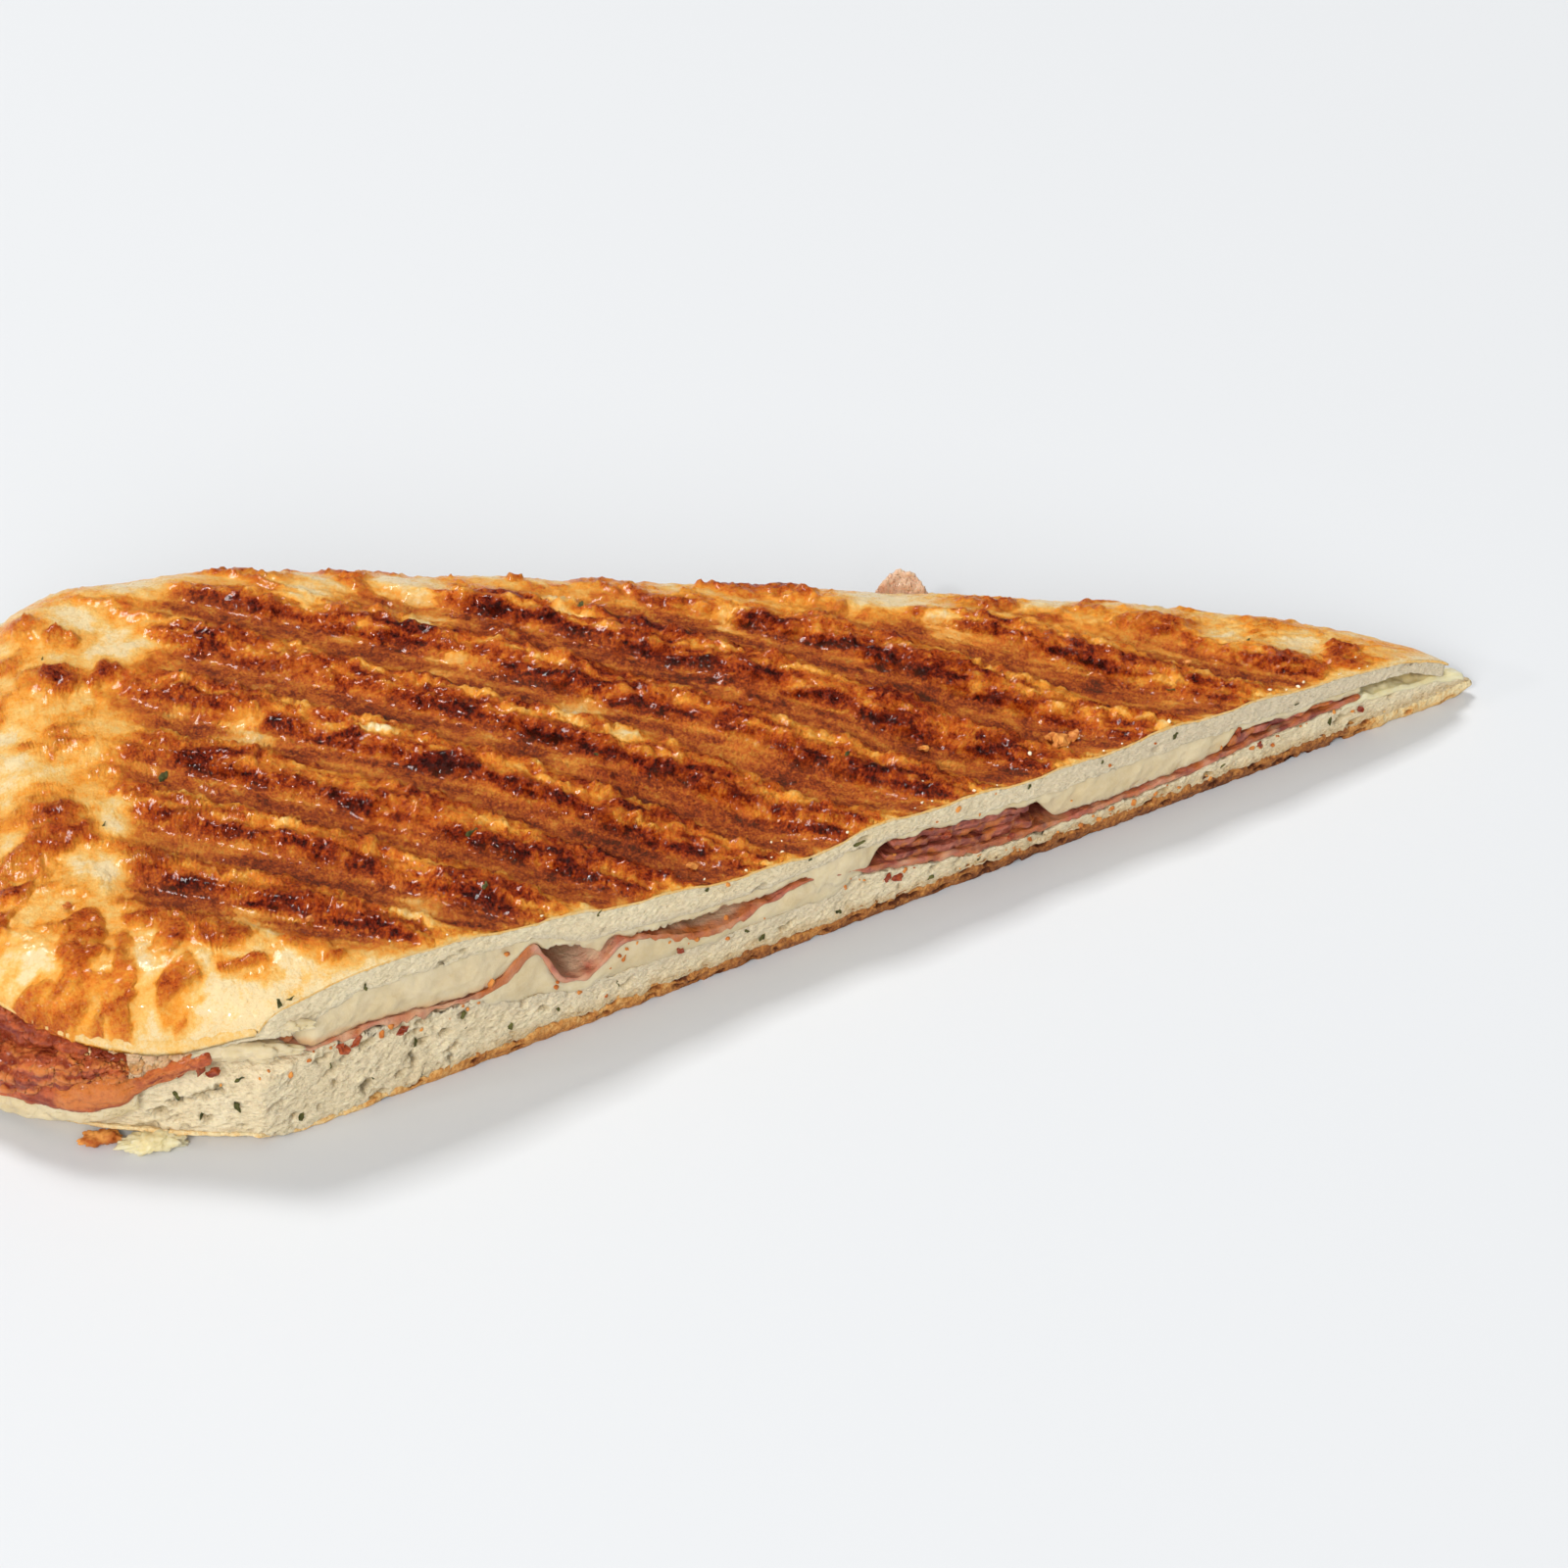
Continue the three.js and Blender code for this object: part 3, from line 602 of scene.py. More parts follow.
class Finish:
    """A finish in the making: its node tree, and what its colour and relief are made of."""

    def __init__(self, name):
        self.material = bpy.data.materials.new(name)
        self.material.use_nodes = True
        self.tree = self.material.node_tree
        self.tree.nodes.clear()

    def value(self, kind, inputs, output=0, **settings):
        return Value(self.tree, kind, inputs, output, **settings)

    def in_mm(self, stretch=(1, 1, 1)):
        """Places in millimetres, stretched along each axis."""
        place_ = self.value("ShaderNodeTexCoord", {}, "Object")
        scale = tuple(k / MM for k in stretch)
        return self.value("ShaderNodeMapping", {"Vector": place_, "Scale": scale})

    def attribute(self, name):
        return self.value("ShaderNodeAttribute", {}, "Fac", attribute_name=name)

    def grain(self, where, size, detail=4.0, roughness=0.55, distortion=0.0):
        inputs = {"Vector": where, "Scale": 1 / size, "Detail": detail, "Roughness": roughness,
                  "Distortion": distortion}
        return self.value("ShaderNodeTexNoise", inputs, "Fac")

    def granules(self, where, size):
        return self.value("ShaderNodeTexVoronoi", {"Vector": where, "Scale": 1 / size}, "Distance")

    def remap(self, value, low, high, to_low=0.0, to_high=1.0):
        inputs = {"Value": value, "From Min": low, "From Max": high, "To Min": to_low,
                  "To Max": to_high}
        return self.value("ShaderNodeMapRange", inputs)

    def ramp(self, value, *stops):
        """Colours along a value, from (position, colour) stops."""
        result = self.value("ShaderNodeValToRGB", {"Fac": value}, "Color")
        elements = result.socket.node.color_ramp.elements
        while len(elements) < len(stops):
            elements.new(0.5)
        for element, (position, colour) in zip(elements, stops):
            element.position = position
            element.color = opaque(colour)
        return result

    def blend(self, share, a, b):
        """Colour a going over to b with the share; 0, 6 and 7 are the node's colour sockets."""
        inputs = {0: share, 6: opaque(a), 7: opaque(b)}
        return self.value("ShaderNodeMix", inputs, 2, data_type="RGBA")

    def relief(self, *layers):
        """A normal bent by layers of (height, depth in millimetres, strength), coarsest first."""
        normal = {}
        for height, depth, strength in layers:
            inputs = {"Height": height, "Distance": depth * MM, "Strength": strength, **normal}
            normal = {"Normal": self.value("ShaderNodeBump", inputs)}
        return normal["Normal"]

    def shade(self, **inputs):
        """Ends the tree in a shader with these inputs, and gives the material."""
        named = {key.replace("_", " "): value for key, value in inputs.items()}
        shader = add(self.tree, "ShaderNodeBsdfPrincipled", named)
        add(self.tree, "ShaderNodeOutputMaterial", {"Surface": shader.outputs[0]})
        return self.material


CRUST_COLOURS = [
    (0.0, (0.97, 0.74, 0.40)),  # cream
    (0.16, (0.96, 0.56, 0.15)),  # straw
    (0.33, (0.95, 0.36, 0.035)),  # gold
    (0.5, (0.86, 0.19, 0.016)),  # orange
    (0.66, (0.62, 0.085, 0.007)),  # chestnut
    (0.82, (0.32, 0.024, 0.002)),  # mahogany
    (0.93, (0.14, 0.008, 0.001)),  # umber
    (1.0, (0.04, 0.003, 0.001)),  # char
]
DRY_CRUST = (0.42, 0.13, 0.04)
BASE_COLOURS = [
    (0.0, (0.90, 0.72, 0.40)), (0.25, (0.84, 0.53, 0.20)), (0.5, (0.66, 0.29, 0.07)),
    (0.75, (0.38, 0.13, 0.03)), (1.0, (0.13, 0.035, 0.012)),
]
CRUMB_DEEP, CRUMB_LIGHT = (0.91, 0.74, 0.47), (0.99, 0.83, 0.56)
# Pore shade is painted shade; the greyer crumb is fat seeped in and painted shade.
PORE_SHADE, SOAKED_AND_SHADED_CRUMB, TOASTED_EDGE = (0.40, 0.31, 0.16), (0.74, 0.62, 0.44), (0.60, 0.36, 0.13)
CHEESE_BLUSH = (0.64, 0.32, 0.12)
CHEESE_ON_HAM = (0.82, 0.55, 0.35)


def griddled_crust():
    """Crust from cream veins to mahogany, glossy on blisters and ridges, dry in the bands."""
    f = Finish("Griddled crust")
    where = f.in_mm()
    matte, browning = f.attribute("matte"), f.attribute("browning")
    mottle = f.grain(where, 2.6, 6, 0.68, 0.8)
    fine = f.grain(where, 0.8, 6, 0.75)
    speckle = f.grain(where, 0.34, 4, 0.8)
    crisp = f.remap(browning, 0.32, 0.65, 0.35, 1.0)
    dots = f.remap(matte, 0, 1, 0.9, 1.5) * (speckle - 0.5)
    # The fine grain is painted darker in its crevices and lighter where it stands up: painted
    # shade.
    spots = 0.95 * (mottle - 0.5) + 1.15 * (0.5 - fine) + dots
    colour = f.ramp(browning + crisp * spots, *CRUST_COLOURS)
    colour = f.blend(matte, colour, f.blend(0.25, colour, DRY_CRUST))
    return f.shade(
        Base_Color=colour,
        Roughness=f.remap(matte, 0, 1, 0.30, 0.55) + 0.5 * (fine - 0.5),
        Normal=f.relief(
            (mottle * crisp, 0.95, 1.0), (fine * crisp, 0.8, 1.0), (speckle * crisp, 0.42, 1.0)
        ),
        Coat_Weight=0.28, Coat_Roughness=0.09, Specular_IOR_Level=0.2, Subsurface_Weight=0.05,
        Subsurface_Radius=(1.0, 0.45, 0.2), Subsurface_Scale=0.001,
    )


def base_crust():
    """The bottom crust: dry, granular and golden brown, pale where it was not pressed."""
    f = Finish("Base crust")
    where = f.in_mm()
    fine = f.grain(where, 0.6, 5, 0.72)
    mottle = f.grain(where, 4.5)
    heat = f.attribute("browning") + 0.4 * (mottle - 0.5) + 1.2 * (fine - 0.5)
    relief = f.relief((fine, 0.35, 0.9), (f.granules(where, 0.8), 0.3, 0.8))
    return f.shade(
        Base_Color=f.ramp(heat, *BASE_COLOURS), Roughness=0.62, Normal=relief,
        Specular_IOR_Level=0.35,
    )


def open_crumb():
    """Cream crumb with painted shade in its fine pores, greyer where fat has seeped in and where
    painted shade falls, toasted by the crust.
    """
    f = Finish("Open crumb")
    squashed = f.in_mm((1, 1, 1.7))
    pores = f.granules(squashed, 0.75)
    fine = f.grain(squashed, 0.4, 4, 0.7)
    crumbly = f.grain(squashed, 1.3, 5, 0.7)
    broad = f.grain(f.in_mm(), 7.0, 3)
    # Painted shade: darker in the pores and in the low parts of the crumb's relief.
    shade = (
        0.85 * f.attribute("pore") + f.remap(pores, 0.0, 0.45, 0.16, -0.04)
        + f.remap(crumbly, 0.35, 0.6, 0.23, -0.05) + f.remap(fine, 0.35, 0.65, 0.12, -0.08)
    )
    colour = f.blend(shade, f.ramp(broad, (0.3, CRUMB_DEEP), (0.7, CRUMB_LIGHT)), PORE_SHADE)
    # Greyer where fat seeped in, and where painted shade is laid on.
    colour = f.blend(f.attribute("soaked"), colour, SOAKED_AND_SHADED_CRUMB)
    toast = f.attribute("toast") * f.remap(fine, 0.35, 0.65, 0.2, 1.0)
    return f.shade(
        Base_Color=f.blend(toast, colour, TOASTED_EDGE), Roughness=0.75,
        Normal=f.relief((crumbly, 0.6, 0.9), (fine, 0.22, 0.9), (pores, 0.2, 0.9)),
        Specular_IOR_Level=0.3, Subsurface_Weight=0.25, Subsurface_Radius=(1.0, 0.8, 0.55),
        Subsurface_Scale=0.0015,
    )


def melted_cheese(name, pale, deep):
    """Melted cheese: smooth, a little see-through, with a soft wet gloss."""
    f = Finish(name)
    where = f.in_mm()
    broad = f.grain(where, 6.0, 3)
    fine = f.grain(where, 1.1, 4, 0.6)
    colour = f.ramp(broad + 0.5 * (fine - 0.5), (0.3, deep), (0.62, pale))
    return f.shade(
        Base_Color=f.blend(f.attribute("blush"), colour, CHEESE_BLUSH), Roughness=0.34,
        Normal=f.relief((broad, 0.5, 0.5), (fine, 0.18, 0.6)), Coat_Weight=0.3,
        Coat_Roughness=0.15, Specular_IOR_Level=0.35, Subsurface_Weight=0.45,
        Subsurface_Radius=(1.0, 0.85, 0.5), Subsurface_Scale=0.003,
    )


def cured_ham(name, lean, fatty, edge):
    """Thin cured ham: lean muscle with paler fat streaks, browned at torn edges."""
    f = Finish(name)
    streak = f.grain(f.in_mm((0.45, 1, 1.3)), 2.6, 5, 0.62, 0.8)
    fine = f.grain(f.in_mm(), 0.7, 5, 0.65)
    torn = f.attribute("torn")
    marbled = tuple(mix(a, b, 0.4) for a, b in zip(lean, fatty))
    share = streak + 0.35 * (fine - 0.5) + 0.24 * f.attribute("pale")
    colour = f.ramp(share, (0.34, lean), (0.5, marbled), (0.64, fatty))
    singed = f.remap(torn + 1.6 * (fine - 0.5), 0, 1) * f.remap(torn, 0, 0.3)
    colour = f.blend(singed, colour, edge)
    return f.shade(
        Base_Color=f.blend(f.attribute("filmed"), colour, CHEESE_ON_HAM), Roughness=0.42,
        Normal=f.relief((streak, 0.6, 0.8), (fine, 0.3, 0.9)), Coat_Weight=0.6,
        Coat_Roughness=0.10, Specular_IOR_Level=0.15, Subsurface_Weight=0.2,
        Subsurface_Radius=(1.0, 0.35, 0.25), Subsurface_Scale=0.0012,
    )


def speckled(name, dark, light, size, roughness):
    """A plain finish between two colours, for chips and crumbs."""
    f = Finish(name)
    colour = f.ramp(f.grain(f.in_mm(), size), (0.35, dark), (0.65, light))
    return f.shade(Base_Color=colour, Roughness=roughness, Specular_IOR_Level=0.15)


CRUST = griddled_crust()
BASE = base_crust()
CRUMB = open_crumb()
WHITE_CHEESE = melted_cheese("Melted white cheese", (0.71, 0.58, 0.36), (0.63, 0.49, 0.27))
YELLOW_CHEESE = melted_cheese("Melted yellow cheese", (0.86, 0.75, 0.46), (0.78, 0.62, 0.31))
LEAN_HAM = cured_ham("Lean ham", (0.15, 0.016, 0.010), (0.54, 0.16, 0.095), (0.52, 0.15, 0.035))
PINK_HAM = cured_ham("Pink ham", (0.46, 0.17, 0.13), (0.70, 0.45, 0.31), (0.62, 0.22, 0.07))
TAN_HAM = cured_ham("Browned fat", (0.50, 0.27, 0.13), (0.78, 0.54, 0.32), (0.60, 0.28, 0.09))
SINGED_HAM = cured_ham("Singed ham", (0.17, 0.012, 0.004), (0.52, 0.11, 0.03), (0.62, 0.19, 0.04))
HERB = speckled("Dried herb", (0.035, 0.038, 0.012), (0.14, 0.13, 0.04), 1.3, 0.85)
TOASTED = speckled("Toasted crumb", (0.42, 0.10, 0.018), (0.80, 0.34, 0.08), 1.5, 0.4)
PALE_CRUMB = speckled("Pale crumb", (0.80, 0.66, 0.42), (0.92, 0.82, 0.62), 1.0, 0.7)

# ---- Top slice ----

# Places of the crust that stayed pale, as (x, y, radius).
PALE_SPOTS = [
    (-45, 40, 5), (-43, 33, 3), (-40, 22, 3.5), (-49, 6, 3), (-67, 7, 4), (-23, 37, 4),
    (-23, 13, 4), (-17, 9, 3), (-1, 34, 3), (-63, -33, 3.5), (-44, -29, 4), (-58, 38, 4.5),
    (-81, 38, 4), (-89, 31, 5), (-83, 24, 4), (-99, 7, 4), (-96, 0, 4), (-84, -12, 4),
    (-64, 45, 3), (-33, 46, 3.5), (-8, 46, 3), (20, 43, 4), (28, 37, 3), (67, 41, 4),
    (78, 40, 4), (-98, -20, 5), (-85, -22, 4), (-66, -30, 3), (-78, -38, 3.5), (-66, -45, 6),
    (-60, -42, 4), (-91, -40, 3), (-101, 18, 4), (44, 44, 3),
]
# Brown blisters, as (x, y, long radius, short radius, turn in degrees).
BROWN_BLISTERS = [
    (-87, -38, 7, 3.2, 80), (-81, -42, 6, 2.2, 85), (-85, -45, 3.4, 2.6, 60),
    (-74, -45, 4.2, 3, 100), (-69, -34, 5.5, 4, 95), (-58, -38, 4.4, 2.6, 150),
    (-66, -42, 4.6, 2.2, 170), (-75, -35, 6, 2, 85), (-95, -25, 10, 3.2, 75),
    (-78, -29, 5, 3, 80), (-89, -14, 6, 4, 60), (-97, -34, 6, 2.6, 70), (-91, -44, 5, 2.2, 10),
    (-91, 26, 3, 2.4, 0), (-88, 18, 5, 3, 20), (-66, 45, 6, 3, 5), (-50, 45, 7, 2.8, 175),
    (-58, 26, 7, 5, 160), (-30, 45, 4, 3, 0), (3, 44, 8, 4, 175), (55, 41, 6, 3, 170),
    (84, 37, 6, 2.6, 165), (76, 33, 4, 3, 160), (34, 43, 5, 2.6, 0),
]
HOTTEST = 0.94
SKIN_HEAT = 0.12


def painted_heat(x, y):
    """How far a point lies in a pale spot and in a brown blister, with ragged outlines."""
    ragged_x = x + 1.6 * rough(5, 3, 33, x, y)
    ragged_y = y + 1.6 * rough(5, 3, 34, x, y, 30.0)
    pale, brown = np.zeros(x.shape), np.zeros(x.shape)
    for cx, cy, radius in PALE_SPOTS:
        away = ((ragged_x - cx) ** 2 + (ragged_y - cy) ** 2) / radius**2
        pale = np.maximum(pale, np.exp(-away * away))
    for cx, cy, long, short, turn in BROWN_BLISTERS:
        along, across = turned(ragged_x - cx, ragged_y - cy, math.radians(turn))
        away = (along / long) ** 2 + (across / short) ** 2
        brown = np.maximum(brown, fall(0.55, 1.35, away))
    return pale, brown


def crust_fields(x, y):
    """Relief in millimetres, heat from 0 to 1 with painted shade and highlights in it, and dryness
    of the crust at plan points.
    """
    inside = TOP.inside(x, y)
    behind = from_plan(x, y)[1]
    pressed = pressed_share(x, y)
    pale, brown = painted_heat(x, y)

    # The pressed bands, with ragged sides, and the ridges between them.
    along, across = along_grooves(x, y)
    ragged = 0.9 * rough(4, 3, 50, x, y)
    offset = groove_offset(across) + ragged * 0.8
    half = GROOVE_WIDTH / 2 - 0.3 + 0.9 * rough(14, 2, 58, x, y) + 0.4 * rough(2.4, 2, 59, x, y)
    touched = smooth(-0.9, -0.3, rough(13, 3, 51, along / 2.2, across))
    groove = fall(half - 0.8, half + 0.9, np.abs(offset))
    band = groove * touched
    ridge = pressed * (1 - band)
    # Flank: a dark line, partly char where the rib bit, partly painted shade on the ridge's front
    # flank.
    flank = bell(offset, half + 0.8, 0.85) * pressed * (0.5 + 0.5 * touched)
    # Crest: a painted highlight, lighter along each ridge's crest.
    crest = bell(offset, -GROOVE_WIDTH / 2 - 1.6, 1.3) * pressed

    # The free rim: blotches and veins, stretched away from the edge, quieter at the near corner.
    round_ = TOP.around(x, y)
    warp = 1.8 * rough(9, 2, 31, x, y)
    on_rim = fall(12, 22, inside)
    blotch = mix(
        rough(6.5, 4, 42, (x + warp) / 1.35, y + warp, gain=0.55),
        rough(7.5, 4, 41, round_ + warp, (inside + warp) / 1.5, gain=0.55), on_rim,
    )
    veins = mix(
        rough(3.0, 3, 48, x + warp, y + warp),
        rough(3.0, 3, 47, round_ + warp, (inside + warp) / 1.7), on_rim,
    )
    quiet = bell(x, -66, 26) * bell(y, -46, 14)
    free_heat = (
        0.30 - 0.12 * quiet + 0.03 * smooth(34, 44, y) - 0.21 * pale
        + (0.16 - 0.11 * quiet) * np.tanh(2.0 * blotch)
        + (0.24 + 0.12 * quiet) * brown * (1 + 0.4 * blotch)
        + (0.09 - 0.05 * quiet) * np.tanh(2 * veins)
    )

    # The pressed part: streaks and threads along the griddle's drag, hotter in the bands.
    drawn, aside = turned(x, y, THREAD_ANGLE)
    drawn, aside = drawn + warp, aside + 0.3 * warp
    streak = rough(3.4, 4, 44, drawn / 3.4, aside, gain=0.6)
    thread = rough(1.5, 3, 45, drawn / 6.0, aside, gain=0.6)
    patch = rough(24, 3, 52, x, y)
    cooler = smooth(15, 80, x)
    ridge_heat = 0.57 + 0.14 * patch + 0.24 * streak + 0.36 * thread - 0.09 * cooler - 0.36 * pale
    band_heat = 0.63 + 0.13 * patch + 0.16 * streak + 0.30 * thread - 0.08 * cooler - 0.30 * pale
    pressed_heat = mix(ridge_heat, band_heat, band) - 0.15 * fall(6, 19, inside)
    pressed_heat = np.maximum(pressed_heat, 0.43 + 0.12 * thread - 0.32 * pale)

    # Bubbles on the ridges, pimples and crinkles all over.
    bend = 0.5 * noise(53, x / 4, y / 4)
    bubble, bubble_tag = cells(54, along / 3.0 + bend, across / 1.7 + bend)
    bubbles = fall(0.18, 0.6, bubble) * bubble_tag
    pimple, pimple_tag = cells(57, x / 1.15 + 0.3 * noise(56, x / 2, y / 2), y / 1.0)
    pimples = fall(0.2, 0.6, pimple) * pimple_tag
    crinkle = rough(1.6, 3, 55, x, y)
    raised = smooth(0.30, 0.60, free_heat + 0.06 * crinkle)
    free = (1 - pressed) * raised
    relief = (
        (1 - pressed) * (0.85 * raised - 0.35) * (0.25 + 0.75 * smooth(0, 8, inside))
        + ridge * (0.8 * bubbles + 0.7 * smooth(-0.3, 0.4, streak) - 0.25)
        + (0.14 + 0.16 * ridge + 0.10 * free) * crinkle
        + (0.34 * ridge + 0.24 * free + 0.20 * groove) * pimples
    )
    # Browning, with painted shade and a painted highlight laid on by the flank, crest and crinkle
    # terms.
    heat = (
        mix(free_heat, pressed_heat, pressed)
        + 0.27 * flank * (0.8 + 0.6 * thread) - 0.07 * crest
        - 0.20 * fall(0.1, 1.6, behind + ragged) - 0.10 * fall(0, 4, inside)
        # Raised crinkles are painted lighter and their crevices darker: painted shade.
        - (0.05 + 0.08 * ridge) * crinkle - ridge * (0.10 * bubbles + 0.05 * pimples - 0.06)
    )
    relief = relief * (0.3 + 0.7 * smooth(0, 3, behind))
    return relief, np.clip(heat, 0, HOTTEST), band * pressed


def top_crust(outer=168, inner=18, lip=3):
    """The griddled crust: a shell over the top slice, rounded down to the mouth."""
    rows, near, far = TOP.rows(CRUST_STEP)
    s = rows[:, None]
    w_out = spread_by_length(near, far, crown_height, rows, outer)
    z_out = crown_height(s, w_out)
    inset = 0.9 * np.minimum(1, (far - near) / 6)
    start = np.where(near > 0, near + inset, 0.0)
    w_in = mix(start[:, None], (far - inset)[:, None], np.linspace(0, 1, inner))[:, ::-1]
    skin = mix(0.5 + 0.2 * noise(60, s / 2.7), CRUST_THICKNESS, smooth(0, 4, w_in))
    z_in = np.maximum(crown_height(s, w_in) - skin, levels(s, w_in)["roof_edge"] + 0.2)
    down = between_ends(lip)
    bulge = 0.5 * np.sin(math.pi * down)
    far_lip = mix(w_out[:, -1:], w_in[:, :1], down) + bulge
    near_lip = mix(w_in[:, -1:], w_out[:, :1], down) - bulge * (near > 0)[:, None]
    shell = Layer(
        rows, near, far,
        (w_out, z_out),
        (far_lip, mix(z_out[:, -1:], z_in[:, :1], down)),
        (w_in, z_in),
        (near_lip, mix(z_in[:, -1:], z_out[:, :1], down)),
    )
    relief, browning, dry = crust_fields(shell.x, shell.y)
    outside = np.zeros(shell.w.shape)
    outside[:, :outer] = 1
    shell.push(relief * outside * shell.small)
    browning = np.where(outside > 0, browning, SKIN_HEAT)
    return shell.make("top_crust", CRUST, browning=browning, matte=dry * outside)


def pore_depth(body, openness, seed):
    """How deep the pores go in from a crumb's cut, in millimetres, and how open they are, for
    painted shade in them.
    """
    s, z = body.s, body.z
    warp = 0.35 * noise(seed, s / 1.7, z / 1.7)
    small, small_tag = cells(seed + 1, s / 0.95 + warp, z / 0.62 + warp)
    large, large_tag = cells(seed + 2, s / 2.8 + 1.3 * warp, z / 1.7 + warp)
    shut = fall(0.0, 1.5, body.behind)
    ragged = 0.14 * rough(1.1, 2, seed + 3, s, z)
    fine = fall(0.10, 0.45, small) * smooth(0.45, 0.95, small_tag)
    holes = smooth(0.92 - 0.42 * openness, 1.05 - 0.3 * openness, large_tag)
    wide = fall(0.12, 0.40, large + ragged) * holes
    depth = (0.35 * fine * (0.4 + openness) + 1.3 * wide * (0.3 + openness)) * shut
    return depth, np.clip(0.45 * fine * (0.3 + openness) + 0.9 * wide, 0, 1) * shut


def laid_open(body, near):
    """1 on the cut and on the torn wall just round its start, fading to 0 behind."""
    return fall(0.2, 2.5, body.behind) * fall(7, 18, near)[:, None]


def top_crumb():
    """The crumb of the top slice, from under the crust down to the roof over the filling."""
    rows, near, far = TOP.rows(CRUMB_STEP, 1.0)

    def top(s, w, at):
        sunk = 0.5 + 2.2 * smooth(0.8, 4, w)
        return np.maximum(crown_height(s, w) - sunk, bottom(s, w, at) + 0.1)

    def bottom(s, w, at):
        return at["roof"] + 0.12 * noise(61, s / 2.3, w / 2.3)

    body = slab(rows, near, far, top, bottom, front=26, across=26, back=6, power=2.2)
    s, w, z = body.s, body.w, body.z
    depth, pore = pore_depth(body, 0.12, 71)
    open_ = laid_open(body, near)
    wall = 0.10 * rough(3.2, 2, 72, s, z, w) + 0.13 * rough(0.95, 3, 73, s, z, w, gain=0.6)
    body.push((wall + 0.1 - depth) * open_ * body.small)
    low = fall(0, 1.3, z - levels(s, w)["roof"])
    # Greyer near the filling where fat seeped in, and towards the tip as painted shade.
    soaked = np.maximum(0.75 * low * (0.3 + 0.7 * plateau(s, -37, 12, 6)), 0.7 * smooth(10, 60, s))
    return body.make("top_crumb", CRUMB, pore=pore * open_, toast=0 * z, soaked=soaked)


# ---- Bottom slice ----

LOWEST_BASE = 0.02


def base_browning(body):
    """The base is golden brown where it was pressed, and pale at the blunt end and the tip."""
    pressed = smooth(-70, -42, body.s) * fall(86, 98, body.s)
    side = smooth(0, 7, BOTTOM.inside(body.x, body.y))
    heat = 0.12 + 0.38 * pressed * (0.4 + 0.6 * side) + 0.22 * smooth(-35, 10, body.s) * pressed
    return np.clip(heat + 0.12 * rough(14, 3, 81, body.x, body.y), 0, 1)


def base_thickness(s):
    """The base crust is thick where it was baked, with a ragged upper border."""
    baked = smooth(-72, -40, s)
    ragged = 0.45 * rough(5, 3, 82, s, gain=0.6) + 0.45 * rough(1.8, 3, 86, s, gain=0.6)
    return mix(0.7, BASE_CRUST_THICKNESS + 0.3, baked) + ragged * (0.3 + 0.7 * baked)


def bottom_crust(under=60, side=16, inner=20, face=12):
    """The base: a dry brown skin under the bottom slice, turned up at the uncut edge."""
    rows, near, far = BOTTOM.rows(BASE_STEP)
    s = rows[:, None]
    share = 0.5 * eased(under, 2.0) + 0.5 * (1 - eased(under, 2.0)[::-1])
    w_under = near[:, None] + (far - near)[:, None] * share
    z_under = foot_height(s, w_under)
    up = between_ends(side)
    w_side = far[:, None] - 0.8 * up**3
    z_side = mix(z_under[:, -1:], levels(rows, far)["floor"][:, None], up)
    inset = np.minimum(1.6, 0.3 * (far - near))
    w_in = mix((far - inset)[:, None], near[:, None], np.linspace(0, 1, inner))
    z_in = np.minimum(foot_height(s, w_in) + base_thickness(s), levels(s, w_in)["floor"] - 0.4)
    cut = between_ends(face)
    w_cut = near[:, None] - 0.3 * np.sin(math.pi * cut)
    body = Layer(
        rows, near, far,
        (w_under, z_under), (w_side, z_side), (w_in, z_in),
        (w_cut, mix(z_in[:, -1:], z_under[:, :1], cut)),
    )
    s, w, z = body.s, body.w, body.z
    shown = np.ones(w.shape)
    shown[:, under + side : -face] = 0
    granular = rough(1.8, 4, 83, body.x, body.y, z)
    scallop = np.abs(rough(5.0, 2, 84, s, 0.0, z))
    edge = fall(0.3, 3, w)
    grainy = 0.24 * granular * (0.2 + 0.8 * np.maximum(edge, smooth(0.3, 2.5, z)))
    body.push((grainy - 0.35 * scallop * edge) * shown * body.small, LOWEST_BASE)
    pit, tag = cells(87, s / 3.0 + 0.3 * granular, z / 1.5)
    pits = fall(0.12, 0.34, pit) * (tag > 0.45) * edge * smooth(-72, -50, s)
    body.push(-0.7 * pits * shown * body.small, LOWEST_BASE)
    cooler = 0.16 * smooth(0.3, 2.4, z) * edge
    # Pits are painted darker as well as sunk: painted shade in them.
    heat = base_browning(body) - cooler + 0.5 * pits + 0.14 * granular * edge + 0.12 * edge
    return body.make("base_crust", BASE, browning=heat)


